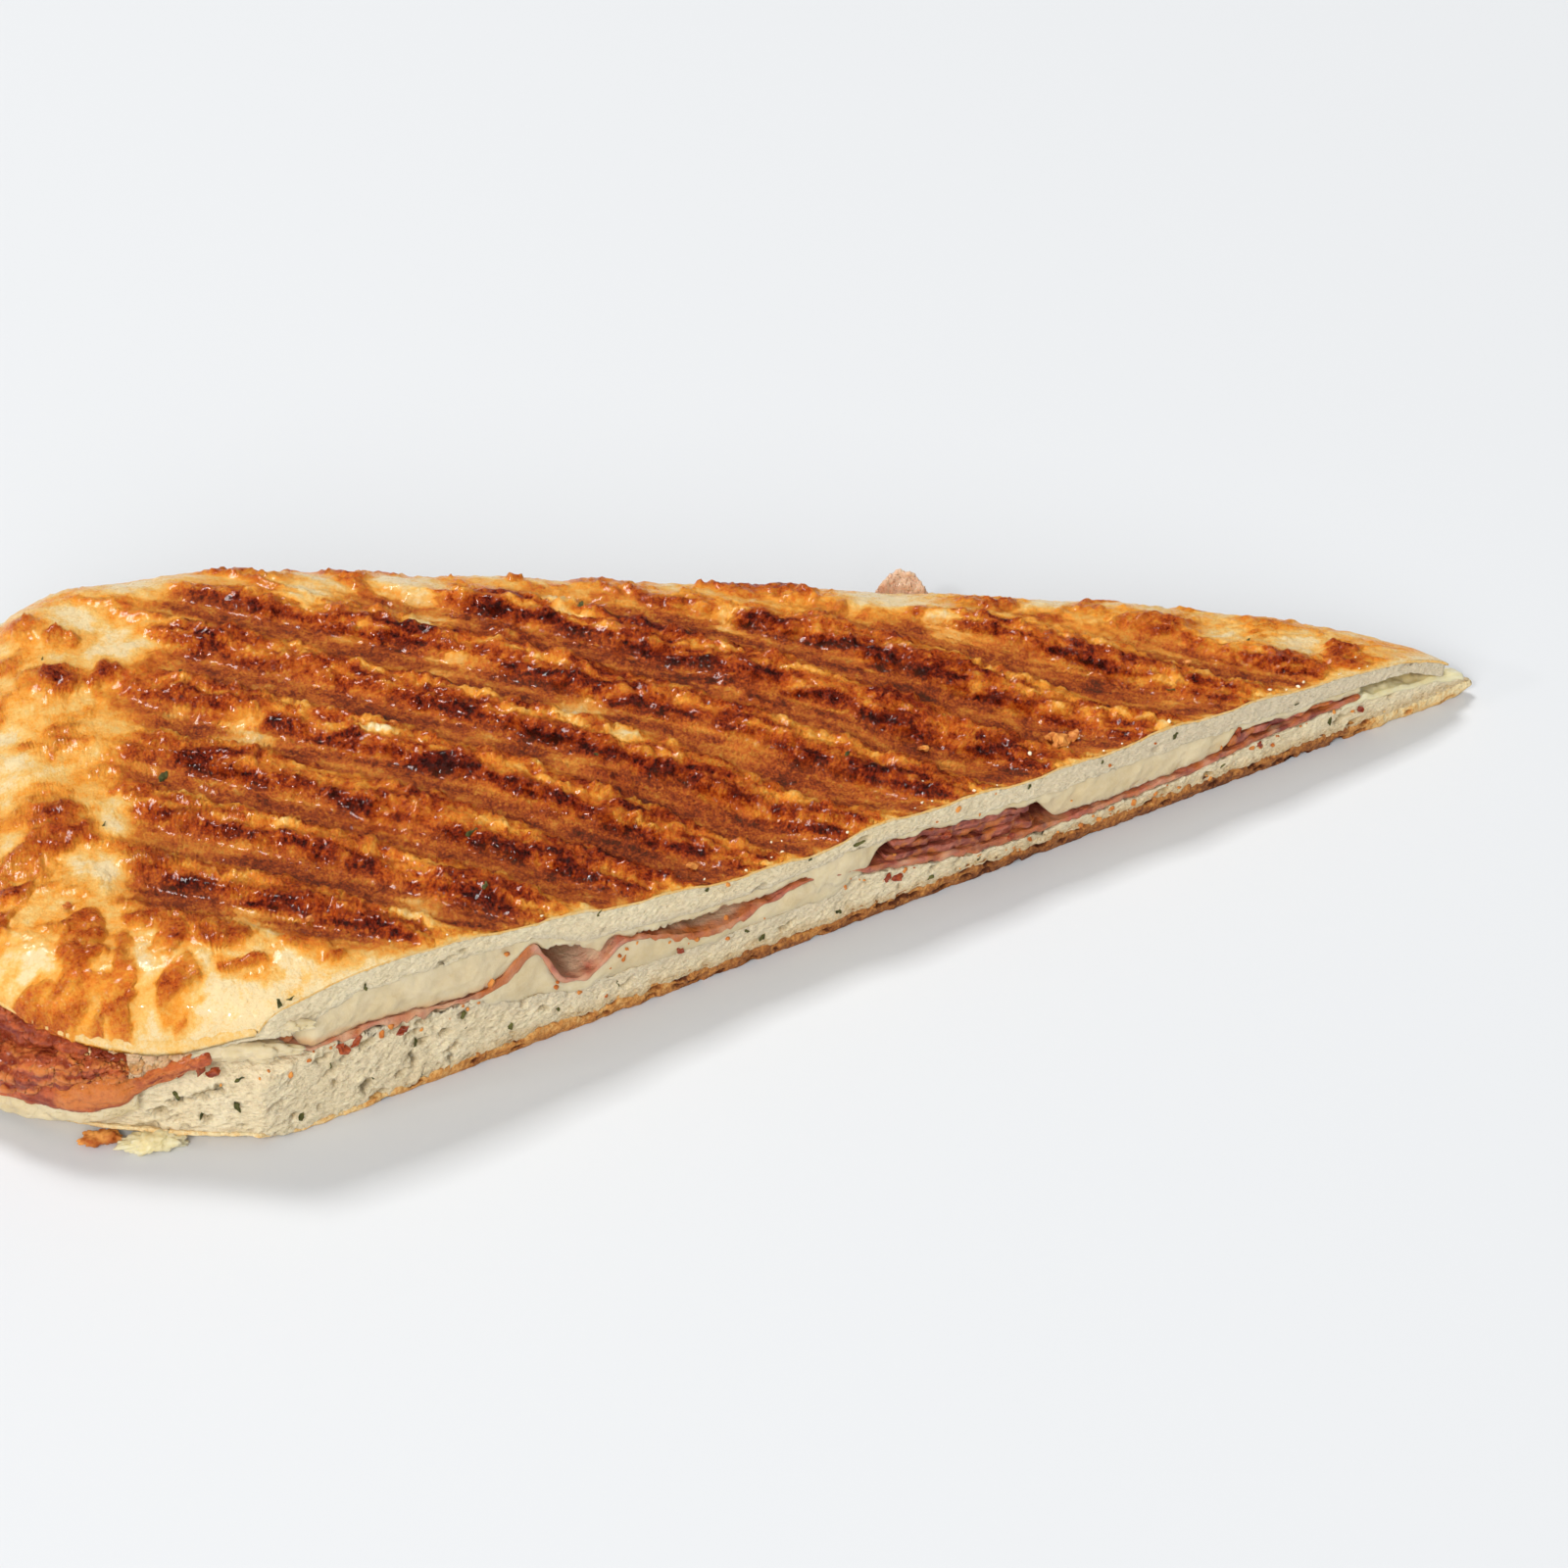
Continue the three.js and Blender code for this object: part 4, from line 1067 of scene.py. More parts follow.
def bottom_crumb():
    """The open crumb of the bottom slice, up to the floor under the filling."""
    rows, near, far = BOTTOM.rows(CRUMB_STEP, 0.4)

    def top(s, w, at):
        return at["floor"] + 0.15 * noise(91, s / 2.1, w / 2.1)

    def bottom(s, w, at):
        under = mix(base_thickness(s) - 0.35, 0.9, smooth(1.5, 5, w))
        return np.minimum(foot_height(s, w) + under, top(s, w, at) - 0.2)

    body = slab(rows, near, far, top, bottom, front=30, across=26, back=9, power=2.2)
    s, w, z = body.s, body.w, body.z
    openness = 0.3 + 0.55 * fall(-55, -20, s)
    open_ = laid_open(body, near)
    depth, pore = pore_depth(body, openness, 92)
    wall = (0.14 + 0.12 * openness) * rough(3.0, 2, 93, s, z, w) + 0.1 - depth
    wall = wall + (0.12 + 0.12 * openness) * rough(1.0, 3, 95, s, z, w, gain=0.6)
    outer = smooth(-1.5, 0, w - far[:, None])
    body.push((wall * open_ + 0.3 * rough(2.6, 3, 96, s, z, w) * outer) * body.small)
    under_cheese = plateau(s, -50, 5, 6) * fall(0.2, 2.6, levels(s, w)["floor"] - z)
    height = z - foot_height(s, w) - base_thickness(s)
    toast = fall(-0.1, 1.5, height + 0.6 * rough(2.0, 3, 94, s, z, w)) * smooth(-72, -42, s)
    return body.make(
        "bottom_crumb", CRUMB,
        pore=pore * open_ * (1 - 0.7 * under_cheese), soaked=0.5 * under_cheese, toast=0.8 * toast,
    )


# ---- Fillings ----


def rows_between(start, end, step):
    return np.linspace(start, end, int((end - start) / step) + 1)


def filling(name, finish, start, end, top, bottom, inset, depth=None, front=10, bulge=0.25,
            relief=0.15, size=3.0, seed=0, **looks):
    """A layer between the slices, inset(s) back from the cut, with looks at s, z and behind."""

    def inside(s, w):
        x, y = place(s, w)
        back = FILLING_INSET + GAPE_INSET * gape(x, y) + 0.5 * np.sin(s / 4.1)
        return TOP.inside(x, y) - back

    rows, near, far = chords(inside, rows_between(start, end, FILLING_STEP))
    near = np.maximum(near, inset(rows))
    if depth is not None:
        far = np.minimum(far, near + depth)
    keep = far - near > 0.6
    body = slab(
        rows[keep], near[keep], far[keep], top, bottom, front=front, across=20, back=2,
        bulge=bulge, power=2.4, narrow=6,
    )
    wrinkle = relief * rough(size, 3, seed, body.s, body.z, body.w)
    body.push(wrinkle * fall(2, 8, body.behind) * body.small)
    values = {label: look(body.s, body.z, body.behind) for label, look in looks.items()}
    return body.make(name, finish, **values)


def at_face(behind, depth):
    """1 on a face, fading to 0 at a depth behind it."""
    return fall(0.5 * depth, depth, behind)


def upper_cheese():
    """Melted cheese under the top slice. It runs down over the ham in two stretches of the cut."""

    def top(s, w, at):
        return at["roof"] + 0.15

    def bottom(s, w, at):
        sag = 0.35 * rough(5.5, 2, 101, s, w)
        torn = 0.9 * np.abs(rough(2.4, 4, 104, s, gain=0.65))
        drops = 1.7 * bell(s, -30.6, 1.3) + 0.8 * bell(s, -26, 0.9) + torn
        low = at["cheese_bottom"] - 0.2 + sag - plateau(s, -38, -8, 3) * drops * at_face(w, 3.5)
        over = plateau(s, -80, -49, 5) * 0.92
        low = mix(low, np.minimum(low, at["ham_top"] - 0.1), over * at_face(w, 1.8))
        low = mix(low, at["floor"] + 0.2, plateau(s, 2.5, 9.5, 2) * at_face(w, 1.3))
        return np.minimum(low, at["roof"] - 0.15)

    def inset(s):
        back = 0.35 + 0.35 * rough(9, 2, 102, s) + 0.2 * plateau(s, -33, -12, 4)
        return back - 0.35 * plateau(s, 2.5, 9.5, 2) - 0.6 * plateau(s, -79, -50, 4)

    def blush(s, z, behind):
        low = fall(0.2, 1.8, z - through(HAM_AT_CUT, s) - 0.3 * rough(2.5, 3, 105, s, z))
        inner = 0.8 * plateau(s, -39, -8, 3) * smooth(1.2, 3, behind)
        return np.maximum(0.75 * low * plateau(s, -78, -44, 6) * at_face(behind, 2), inner)

    return filling(
        "melted_cheese_upper", WHITE_CHEESE, FILLING_START, FILLING_END, top, bottom, inset,
        front=14, bulge=0.3, relief=0.26, size=2.6, seed=103, blush=blush,
    )


def lower_cheese():
    """Melted cheese under the ham, in the middle stretch of the cut."""

    def top(s, w, at):
        return np.maximum(at["ham_bottom"] + 0.35, at["floor"] + 0.3)

    def bottom(s, w, at):
        return at["floor"] - 0.3

    def inset(s):
        return 0.1 + 0.4 * rough(6, 2, 111, s)

    return filling(
        "melted_cheese_lower", WHITE_CHEESE, -50, 9, top, bottom, inset, depth=44, front=14,
        bulge=0.3, relief=0.2, size=4.2, seed=112,
    )


# How pale and how torn the ham is along the cut, and how far its torn fringe hangs down there.
HAM_PALE = [
    (-86, 0.5), (-70, 0.75), (-54, 0.5), (-47, 0.1), (-42, 0.1), (-40, 0.9), (-31, 1.0), (-25, 0.5),
    (-18, 0.35), (-8, 0.3), (0, 0.6), (12, 0.55), (20, 0.1), (38, 0.15), (50, 0.6), (62, 0.6),
    (70, 0.1), (92, 0.5),
]
HAM_TORN = [
    (-86, 0.2), (-70, 0.5), (-58, 0.6), (-50, 0.5), (-46.5, 0.9), (-42, 0.95), (-40, 0.25),
    (-30, 0.1), (-24, 0.6), (-17, 0.9), (-9, 0.75), (-4, 0.2), (12, 0.15), (20, 0.35), (36, 0.4),
    (66, 0.3), (92, 0.4),
]
HAM_FRINGE = [
    (-80, 0.2), (-69, 0.3), (-67, 1.4), (-64.5, 0.3), (-61, 1.2), (-57, 1.3), (-54, 0.2),
    (-49, 0.7), (-46, 0.1), (-25, 0.2), (-20, 1.0), (-15, 1.5), (-10, 1.2), (-6, 0.1), (14, 0.2),
    (20, 0.5), (36, 0.4), (92, 0.2),
]


def ham_slice():
    """The leaf of ham that runs along the whole cut, thicker where it rises to its crest."""

    def rising(s, w):
        return plateau(s, -46, -41, 1.5) * at_face(w, 4)

    def top(s, w, at):
        thin = 0.25 * (1 - plateau(s, 12, 38, 3)) * (1 + 0.7 * noise(138, s / 1.9))
        return at["ham_top"] - thin + 0.7 * rising(s, w)

    def bottom(s, w, at):
        tooth = np.clip(0.5 + 0.9 * rough(1.5, 3, 134, s), 0, 1.6)
        fringe = through(HAM_FRINGE, s) * tooth * at_face(w, 1.2)
        low = at["ham_bottom"] + 0.2 - fringe - 0.6 * rising(s, w)
        return np.maximum(low, at["floor"] - 1.3)

    def inset(s):
        return 0.6 * rough(5, 3, 131, s) - 0.25 - 0.5 * through(HAM_FRINGE, s)

    def pale(s, z, behind):
        inner = mix(through(HAM_PALE, s), 0.75 * plateau(s, -38, -6, 3), smooth(1, 3, behind))
        return np.clip(0.75 * inner + 0.5 * rough(3, 3, 135, s, z, behind), 0, 1)

    def torn(s, z, behind):
        share = through(HAM_TORN, s) + 0.12 + 0.7 * rough(1.8, 3, 136, s, z, behind)
        return np.clip(share, 0, 1) * fall(0.8, 3.5, behind)

    def filmed(s, z, behind):
        covered = 0.35 * plateau(s, -76, -54, 5) + 0.3 * plateau(s, -40, -31, 1.5)
        inner = 0.8 * plateau(s, -38, -9, 4) * smooth(1.0, 2.2, behind)
        return np.clip(np.maximum(covered, inner) + 0.5 * rough(3, 3, 137, s, z, behind), 0, 1)

    return filling(
        "cured_ham_slice", LEAN_HAM, FILLING_START, FILLING_END, top, bottom, inset, front=7,
        bulge=0.15, relief=0.22, size=2.2, seed=132, pale=pale, torn=torn, filmed=filmed,
    )


def leaf(name, finish, start, end, depth, back, low, high, seed):
    """A leaf of ham in the room between the ham slice and the cheese over it."""

    def height(at, share):
        return mix(at["ham_top"] + 0.1, at["cheese_bottom"] - 0.1, share)

    def top(s, w, at):
        wave = 0.25 * rough(4, 2, seed, s, w)
        return np.maximum(height(at, high) + wave, height(at, low) + 0.25)

    def bottom(s, w, at):
        return height(at, low)

    def inset(s):
        return back + 0.6 * rough(3.5, 3, seed + 1, s)

    def torn(s, z, behind):
        return fall(0.0, 1.4, behind) * smooth(-0.1, 0.5, rough(2.2, 3, 121, s, z))

    return filling(name, finish, start, end, top, bottom, inset, depth=depth, front=5, bulge=0.1,
                   relief=0.22, size=2.0, seed=seed + 2, torn=torn)


# Leaves as (finish, start, end, depth, back from the cut, lowest and highest share of the room).
LEAVES = {
    "ham_upper": (PINK_HAM, -83, -52, 60, 1.9, 0.05, 0.55),
    "ham_fold_low": (LEAN_HAM, 13, 37, 28, 0.3, 0.0, 0.3),
    "ham_fold_mid": (LEAN_HAM, 15, 35, 28, 0.9, 0.34, 0.62),
    "ham_fold_high": (LEAN_HAM, 14, 36, 26, 0.5, 0.68, 0.95),
    "ham_wedge": (LEAN_HAM, 69, 89, 15, 0.4, 0.0, 0.8),
}


def tip_cheese():
    """The film of cheese that lies bare on the bottom slice in the open tip."""
    rows = rows_between(88, 111, TIP_STEP)
    rows, near, far = chords(lambda s, w: BOTTOM.inside(*place(s, w)) - 0.9, rows)
    far = np.minimum(far, near + 10)
    keep = far - near > 0.8

    def top(s, w, at):
        film = 0.75 + 0.45 * rough(3.2, 3, 141, s, w)
        return at["floor"] + np.maximum(film, 0.12) * smooth(87, 92, s)

    def bottom(s, w, at):
        return at["floor"] - 0.4

    body = slab(rows[keep], near[keep] + 0.1, far[keep], top, bottom, front=8, across=24, back=2,
                bulge=0.3, power=1.5)
    return body.make("melted_cheese_tip", YELLOW_CHEESE)


# ---- Leaves, films and lumps ----


def beside(travel, outward):
    """x and y at a distance round the top slice from the middle of its blunt end, and outward."""
    _, x, y, distance = TOP.outline()
    step_x = np.interp(travel + 0.5, distance, x) - np.interp(travel - 0.5, distance, x)
    step_y = np.interp(travel + 0.5, distance, y) - np.interp(travel - 0.5, distance, y)
    length = np.hypot(step_x, step_y)
    return (
        np.interp(travel, distance, x) + outward * step_y / length,
        np.interp(travel, distance, y) - outward * step_x / length,
    )


class Sheet(Loft):
    """A thin leaf beside the top slice's outline.

    Each station along it has a section of (outward, height) points from its root to its free edge.
    """

    def __init__(self, stations, thickness, wrinkle, size, torn=0.0, seed=1, count=120, across=44):
        at = np.array([position for position, _ in stations], float)
        sections = np.array([section for _, section in stations], float)
        along = np.linspace(at[0], at[-1], count)
        knots = np.linspace(0, 1, sections.shape[1])
        reach = 1 - torn * np.clip(0.5 + 0.8 * rough(2.6, 4, seed, along, gain=0.65), 0, 1)
        share = np.linspace(0, 1, across)
        ribs = curve(at, sections, along)
        middle = np.stack([curve(knots, rib, share * r) for rib, r in zip(ribs, reach)])
        height = middle[..., 1]
        x, y = beside(along[:, None], middle[..., 0])
        points = np.stack([x, y, height], axis=2)
        wrinkles = wrinkle * rough(size, 4, seed + 1, x, y, height)
        points = points + self._facing(points) * wrinkles[..., None]
        run = np.linspace(0, 1, count)[:, None] * (at[-1] - at[0])
        width = np.linalg.norm(np.diff(points, axis=1), axis=2).sum(1)[:, None]
        to_side = np.minimum(share, 1 - share)[None, :] * width
        to_edge = np.minimum(np.minimum(run, run[-1] - run), to_side)
        uneven = 1 + 0.4 * noise(seed + 2, x / 2.1, y / 2.1, height / 2.1)
        half = thickness / 2 * uneven * (0.12 + 0.88 * quarter_round(to_edge / 0.9))
        out = self._facing(points) * half[..., None]
        loops = np.concatenate([points + out, (points - out)[:, ::-1]], axis=1)
        loops[..., 2] = np.maximum(loops[..., 2], FLOOR_CLEARANCE)
        super().__init__(loops)
        self.along = np.repeat(along[:, None], 2 * across, axis=1)
        self.share = np.repeat(np.concatenate([share, share[::-1]])[None, :], count, axis=0)

    @staticmethod
    def _facing(points):
        n = np.cross(np.gradient(points, axis=0), np.gradient(points, axis=1))
        return n / np.maximum(np.linalg.norm(n, axis=2, keepdims=True), 1e-9)

    def streaks(self, length, width, seed):
        """Streaks that run along the leaf, from about -1 to 1."""
        return rough(1.0, 4, seed, self.along / length, self.share / width, gain=0.6)


def lump(centre, radii, turn, roughness, size, seed, rows=44, around=60):
    """An uneven blob, flat underneath if it would go through the floor."""
    polar = np.linspace(0.05, math.pi - 0.05, rows)[:, None]
    angle = np.linspace(0, 2 * math.pi, around, endpoint=False)[None, :]
    ring = np.sin(polar)
    unit = np.stack([np.cos(polar) + 0 * angle, ring * np.cos(angle), ring * np.sin(angle)], 2)
    at = (unit[..., k] * radii[k] + 9 * seed for k in range(3))
    swell = 1 + roughness * rough(size, 4, seed, *at, gain=0.6)
    local = unit * np.array(radii) * swell[..., None]
    x, y = turned(local[..., 0], local[..., 1], -math.radians(turn))
    z = np.maximum(centre[2] + local[..., 2], FLOOR_CLEARANCE)
    return Loft(np.stack([centre[0] + x, centre[1] + y, z], axis=2))


# Stations of the leaves: a distance round the outline, and the section there.
OUTER_FLAP = [
    (24, [(-7, 13.5), (-4, 14.5), (-1.6, 14.5), (-0.4, 13.6), (-0.5, 12.3), (0.8, 11.4),
          (1.8, 9.8), (1.2, 7.6), (0.2, 7.4)]),
    (34, [(-7, 14), (-4, 16.6), (-1.4, 17), (0, 15), (-0.6, 12.3), (1.4, 11.3), (2.4, 8.4),
          (1.5, 5), (0.3, 4.8)]),
    (42, [(-7, 14.5), (-4, 17.8), (-1.2, 17.8), (0.2, 15), (-0.7, 11.9), (1.5, 10.9), (2.5, 8.0),
          (1.5, 4.8), (0.3, 4.6)]),
    (47, [(-7, 14.2), (-4, 16.6), (-1.2, 16.6), (0.1, 14.4), (-0.7, 11.8), (1.4, 10.9),
          (2.4, 8.6), (1.4, 6.2), (0.3, 6)]),
    (52, [(-7, 13.8), (-4, 15.4), (-1.2, 15.6), (0, 14.4), (-0.5, 13.0), (1.3, 12.3),
          (2.1, 10.5), (1.3, 8.6), (0.3, 8.4)]),
    (57, [(-7, 13.5), (-4, 13.9), (-1.6, 13.8), (-0.5, 13.4), (0, 12.8), (0.9, 12.3),
          (1.2, 11.2), (0.9, 10.1), (0.2, 10)]),
    (61, [(-5, 12.8), (-3, 13), (-1.6, 12.9), (-0.6, 12.8), (-0.1, 12.6), (0.3, 12.4), (0.4, 12),
          (0.3, 11.5), (0, 11.4)]),
]
INNER_FLAP = [
    (24, [(-6, 12.4), (-2, 11.5), (-0.2, 9.5), (0.4, 8.4), (0.9, 7.6), (0.8, 6.6), (0, 6.2)]),
    (34, [(-6, 12.6), (-2, 10.5), (0, 7.5), (0.8, 6), (1.3, 4.8), (1.1, 3.8), (0.2, 3.5)]),
    (42, [(-6, 12.6), (-2, 10.5), (0, 7.5), (0.8, 6), (1.3, 4.8), (1.2, 3.8), (0.2, 3.5)]),
    (50, [(-6, 12.6), (-2, 11.5), (-0.2, 9.5), (0.8, 8.2), (1.6, 6.9), (1.5, 5.5), (0.3, 5.1)]),
    (55, [(-6, 12.6), (-2, 12.2), (-0.4, 11), (1.1, 9.8), (2, 7.9), (1.7, 6), (0.3, 5.6)]),
    (59, [(-6, 12.8), (-2, 12.4), (-0.6, 11.2), (0.9, 10.2), (1.7, 8.6), (1.4, 6.9), (0.3, 6.6)]),
    (62, [(-5, 13), (-2, 12.6), (-0.8, 11.4), (0.2, 10.8), (0.7, 9.9), (0.5, 9), (0, 8.8)]),
    (66, [(-4, 14), (-2, 13.8), (-1, 13), (-0.3, 12.6), (0.1, 12.1), (0, 11.4), (-0.4, 11.3)]),
    (71, [(-4, 15.6), (-2.4, 15.6), (-1.5, 15.2), (-0.9, 15), (-0.6, 14.5), (-0.6, 13.8),
          (-0.9, 13.7)]),
]
SCRAP = [
    (54, [(-5, 13.8), (-2.5, 14.4), (-1, 14), (-0.5, 13.4), (-0.5, 12.8), (-1, 12.4)]),
    (58, [(-5, 14), (-2.8, 14.4), (-1, 13.4), (0.1, 12.2), (0.2, 10.8), (-0.4, 10.2)]),
    (62, [(-5, 14.4), (-3, 15), (-1.3, 14.3), (-0.2, 13), (0, 11.6), (-0.6, 10.8)]),
    (66, [(-5, 15.6), (-3.4, 16.8), (-2, 16.4), (-0.9, 15), (-0.5, 13.6), (-1, 12.8)]),
    (70, [(-5, 17), (-3.8, 18.2), (-2.8, 18), (-1.9, 16.9), (-1.3, 15.8), (-1.4, 15)]),
    (73, [(-5, 17.6), (-4.2, 18.4), (-3.4, 18.3), (-2.8, 17.6), (-2.3, 16.9), (-2.2, 16.2)]),
]
DRIP = [
    (35, [(0.2, 4.6), (0.9, 4), (1, 3.2), (0.8, 2.6), (0.4, 2.4)]),
    (38.5, [(0.2, 5.2), (1, 4), (1.2, 2.6), (1.1, 1.4), (0.7, 0.9)]),
    (40.3, [(0.2, 5.4), (1.1, 4), (1.5, 2.2), (1.9, 0.8), (2.6, 0.2)]),
    (42.5, [(0.2, 5.6), (1.1, 4.4), (1.3, 3), (1.2, 1.8), (0.7, 1.2)]),
    (50, [(0.2, 6.6), (1, 5.4), (1.2, 4.2), (1, 3), (0.5, 2.4)]),
    (58, [(0.2, 7.2), (0.9, 6.2), (0.9, 5.2), (0.7, 4.4), (0.3, 4)]),
    (62, [(0, 8), (0.3, 7.4), (0.4, 7), (0.3, 6.6), (0, 6.4)]),
]
FAR_CHEESE = [
    (524, [(-5, 11.5), (-1.5, 12.4), (0.2, 12.6), (1, 12.4), (1.2, 12)]),
    (529, [(-5, 11.6), (-1.5, 13), (0.6, 13.8), (2, 14), (2.8, 13.4)]),
    (534, [(-5, 11.6), (-1.5, 12.6), (0.4, 13), (1.4, 12.8), (1.8, 12.2)]),
    (540, [(-5, 11.6), (-1.5, 12.6), (0.8, 13), (2.2, 12.8), (2.8, 12)]),
    (547, [(-5, 11.5), (-1.5, 12), (0.2, 12.2), (1, 12), (1.2, 11.6)]),
]
FAR_HAM = [
    (537, [(-4, 10.2), (-1, 10.6), (0.3, 10.8), (0.8, 10.6)]),
    (543, [(-4, 10.2), (-1, 10.8), (1, 11), (1.7, 10.4)]),
    (549, [(-4, 10), (-1, 10.6), (1, 10.6), (1.6, 9.8)]),
    (552, [(-4, 10), (-1, 10.3), (0.4, 10.2), (0.8, 9.8)]),
]
BACK_LEAF = [
    (402, [(-3, 9.6), (0.4, 10), (1.2, 10.8), (1.6, 11.4)]),
    (404, [(-3, 9.6), (0.8, 10.8), (2.4, 13), (3.1, 14.2)]),
    (406, [(-3, 9.6), (0.8, 10.8), (2.6, 13.4), (3.4, 15)]),
    (408, [(-3, 9.6), (0.8, 10.6), (2.2, 12.6), (3, 14)]),
    (410, [(-3, 9.6), (0.4, 10), (1.2, 10.8), (1.6, 11.4)]),
]


def outer_flap():
    """The dark leaf at the blunt end, with its folded edge striped brown."""
    body = Sheet(OUTER_FLAP, 1.1, 0.55, 2.4, torn=0.06, seed=301, count=190, across=76)
    folded = smooth(0.5, 0.62, body.share) * fall(0.9, 1.0, body.share)
    stripes = body.streaks(5.0, 0.055, 302)
    body.push(folded * 0.4 * stripes + (1 - folded) * 0.22 * body.streaks(2.0, 0.06, 303))
    ends = 0.35 * smooth(54, 60, body.along) + 0.4 * fall(36, 46, body.along)
    fat = folded * (0.05 + 1.6 * body.streaks(4.0, 0.045, 304))
    return body.make(
        "ham_flap_over", SINGED_HAM, torn=folded * np.clip(0.15 + 1.6 * stripes + ends, 0, 1),
        pale=np.clip(fat + 0.7 * body.streaks(3.0, 0.12, 305) - 0.1, 0, 1),
    )


def inner_flap():
    """The leaf under it: a purple rim, a glassy brown pocket, and a ribbon up to the cut."""
    body = Sheet(INNER_FLAP, 1.0, 0.3, 2.4, seed=311, count=170, across=60)
    stripes = body.streaks(4.0, 0.08, 312)
    pocket = plateau(body.along, 53, 61, 1.5) * plateau(body.share, 0.45, 0.75, 0.1)
    ribbon = smooth(61, 63, body.along) * fall(68.5, 70.5, body.along)
    return body.make(
        "ham_flap_under", SINGED_HAM, pale=np.clip(0.25 + 0.5 * stripes, 0, 1) * (1 - pocket),
        torn=np.clip(0.9 * pocket + 0.75 * ribbon * (0.6 + 0.6 * stripes), 0, 1),
    )


def browned_scrap():
    """The scrap of browned fat between the slices at the blunt end."""
    body = Sheet(SCRAP, 1.0, 0.5, 2.0, torn=0.16, seed=321, across=50)
    stripes = body.streaks(3.0, 0.12, 322)
    body.push(0.25 * stripes)
    torn = np.clip(0.35 + 0.9 * stripes, 0, 1)
    return body.make("browned_scrap", TAN_HAM, torn=torn, pale=0.3 + 0.5 * stripes)


def set_drip():
    """The drip of cheese that ran down at the blunt end and set."""
    body = Sheet(DRIP, 1.3, 0.3, 2.6, torn=0.1, seed=331)
    return body.make("set_drip", WHITE_CHEESE)


def cheese_at_far_corner():
    body = Sheet(FAR_CHEESE, 0.8, 0.3, 2.6, torn=0.2, seed=341)
    return body.make("cheese_at_far_corner", WHITE_CHEESE)


def ham_at_far_corner():
    body = Sheet(FAR_HAM, 1.0, 0.25, 2.4, torn=0.2, seed=351)
    return body.make("ham_at_far_corner", LEAN_HAM)


def ham_leaf_at_back():
    """The leaf of ham that stands up over the back edge."""
    body = Sheet(BACK_LEAF, 0.8, 0.35, 2.0, torn=0.15, seed=361)
    even = np.ones(body.share.shape)
    return body.make("ham_leaf_at_back", PINK_HAM, pale=0.8 * even, filmed=0.45 * even)


def fallen_crumb():
    shape = lump((-77.5, -49.2, 1.1), (4.2, 1.6, 1.1), 8, 0.36, 1.5, 371)
    return shape.make("fallen_crumb", YELLOW_CHEESE)


# ---- Flecks, crumbs and flakes ----


def chip_tree():
    """Geometry nodes that set an angular chip on each point, facing outwards, each a little odd."""
    tree = bpy.data.node_groups.new("Scattered chips", "GeometryNodeTree")
    kinds = {"Places": "Geometry", "Length": "Float", "Width": "Float", "Thickness": "Float",
             "Unevenness": "Float", "Seed": "Int", "Finish": "Material"}
    for label, kind in kinds.items():
        tree.interface.new_socket(label, in_out="INPUT", socket_type="NodeSocket" + kind)
    tree.interface.new_socket("Chips", in_out="OUTPUT", socket_type="NodeSocketGeometry")

    def node(kind, inputs=None, output=0, **settings):
        return add(tree, kind, inputs, **settings).outputs[output]

    def named(label, kind):
        return node("GeometryNodeInputNamedAttribute", {"Name": label}, "Attribute", data_type=kind)

    given = add(tree, "NodeGroupInput").outputs
    ball = node("GeometryNodeMeshIcoSphere", {"Radius": 0.5, "Subdivisions": 2}, "Mesh")
    size = node("ShaderNodeCombineXYZ", {
        "X": given["Length"], "Y": given["Width"], "Z": given["Thickness"],
    })
    chip = node("GeometryNodeTransform", {"Geometry": ball, "Scale": size})
    outward = node(
        "FunctionNodeAlignRotationToVector", {"Vector": named("facing", "FLOAT_VECTOR")}, axis="Z",
    )
    spin = node("FunctionNodeRandomValue", {
        "Min": (-0.35, -0.35, 0), "Max": (0.35, 0.35, 2 * math.pi), "Seed": given["Seed"],
    }, data_type="FLOAT_VECTOR")
    spun = node("FunctionNodeEulerToRotation", {"Euler": spin})
    rotation = node(
        "FunctionNodeRotateRotation", {"Rotation": outward, "Rotate By": spun},
        rotation_space="LOCAL",
    )
    chips = node("GeometryNodeInstanceOnPoints", {
        "Points": given["Places"], "Instance": chip, "Rotation": rotation,
        "Scale": named("share", "FLOAT"),
    })
    solid = node("GeometryNodeRealizeInstances", {"Geometry": chips})
    wobble = node("ShaderNodeTexNoise", {
        "Vector": node("GeometryNodeInputPosition"), "Scale": 1 / (0.6 * MM), "Detail": 1.0,
    }, "Color")
    offset = node("ShaderNodeVectorMath", {0: wobble, 1: (0.5, 0.5, 0.5)}, operation="SUBTRACT")
    offset = node(
        "ShaderNodeVectorMath", {0: offset, "Scale": given["Unevenness"]}, operation="SCALE",
    )
    uneven = node("GeometryNodeSetPosition", {"Geometry": solid, "Offset": offset})
    done = node("GeometryNodeSetMaterial", {"Geometry": uneven, "Material": given["Finish"]})
    add(tree, "NodeGroupOutput", {"Chips": done})
    return tree


CHIPS = chip_tree()


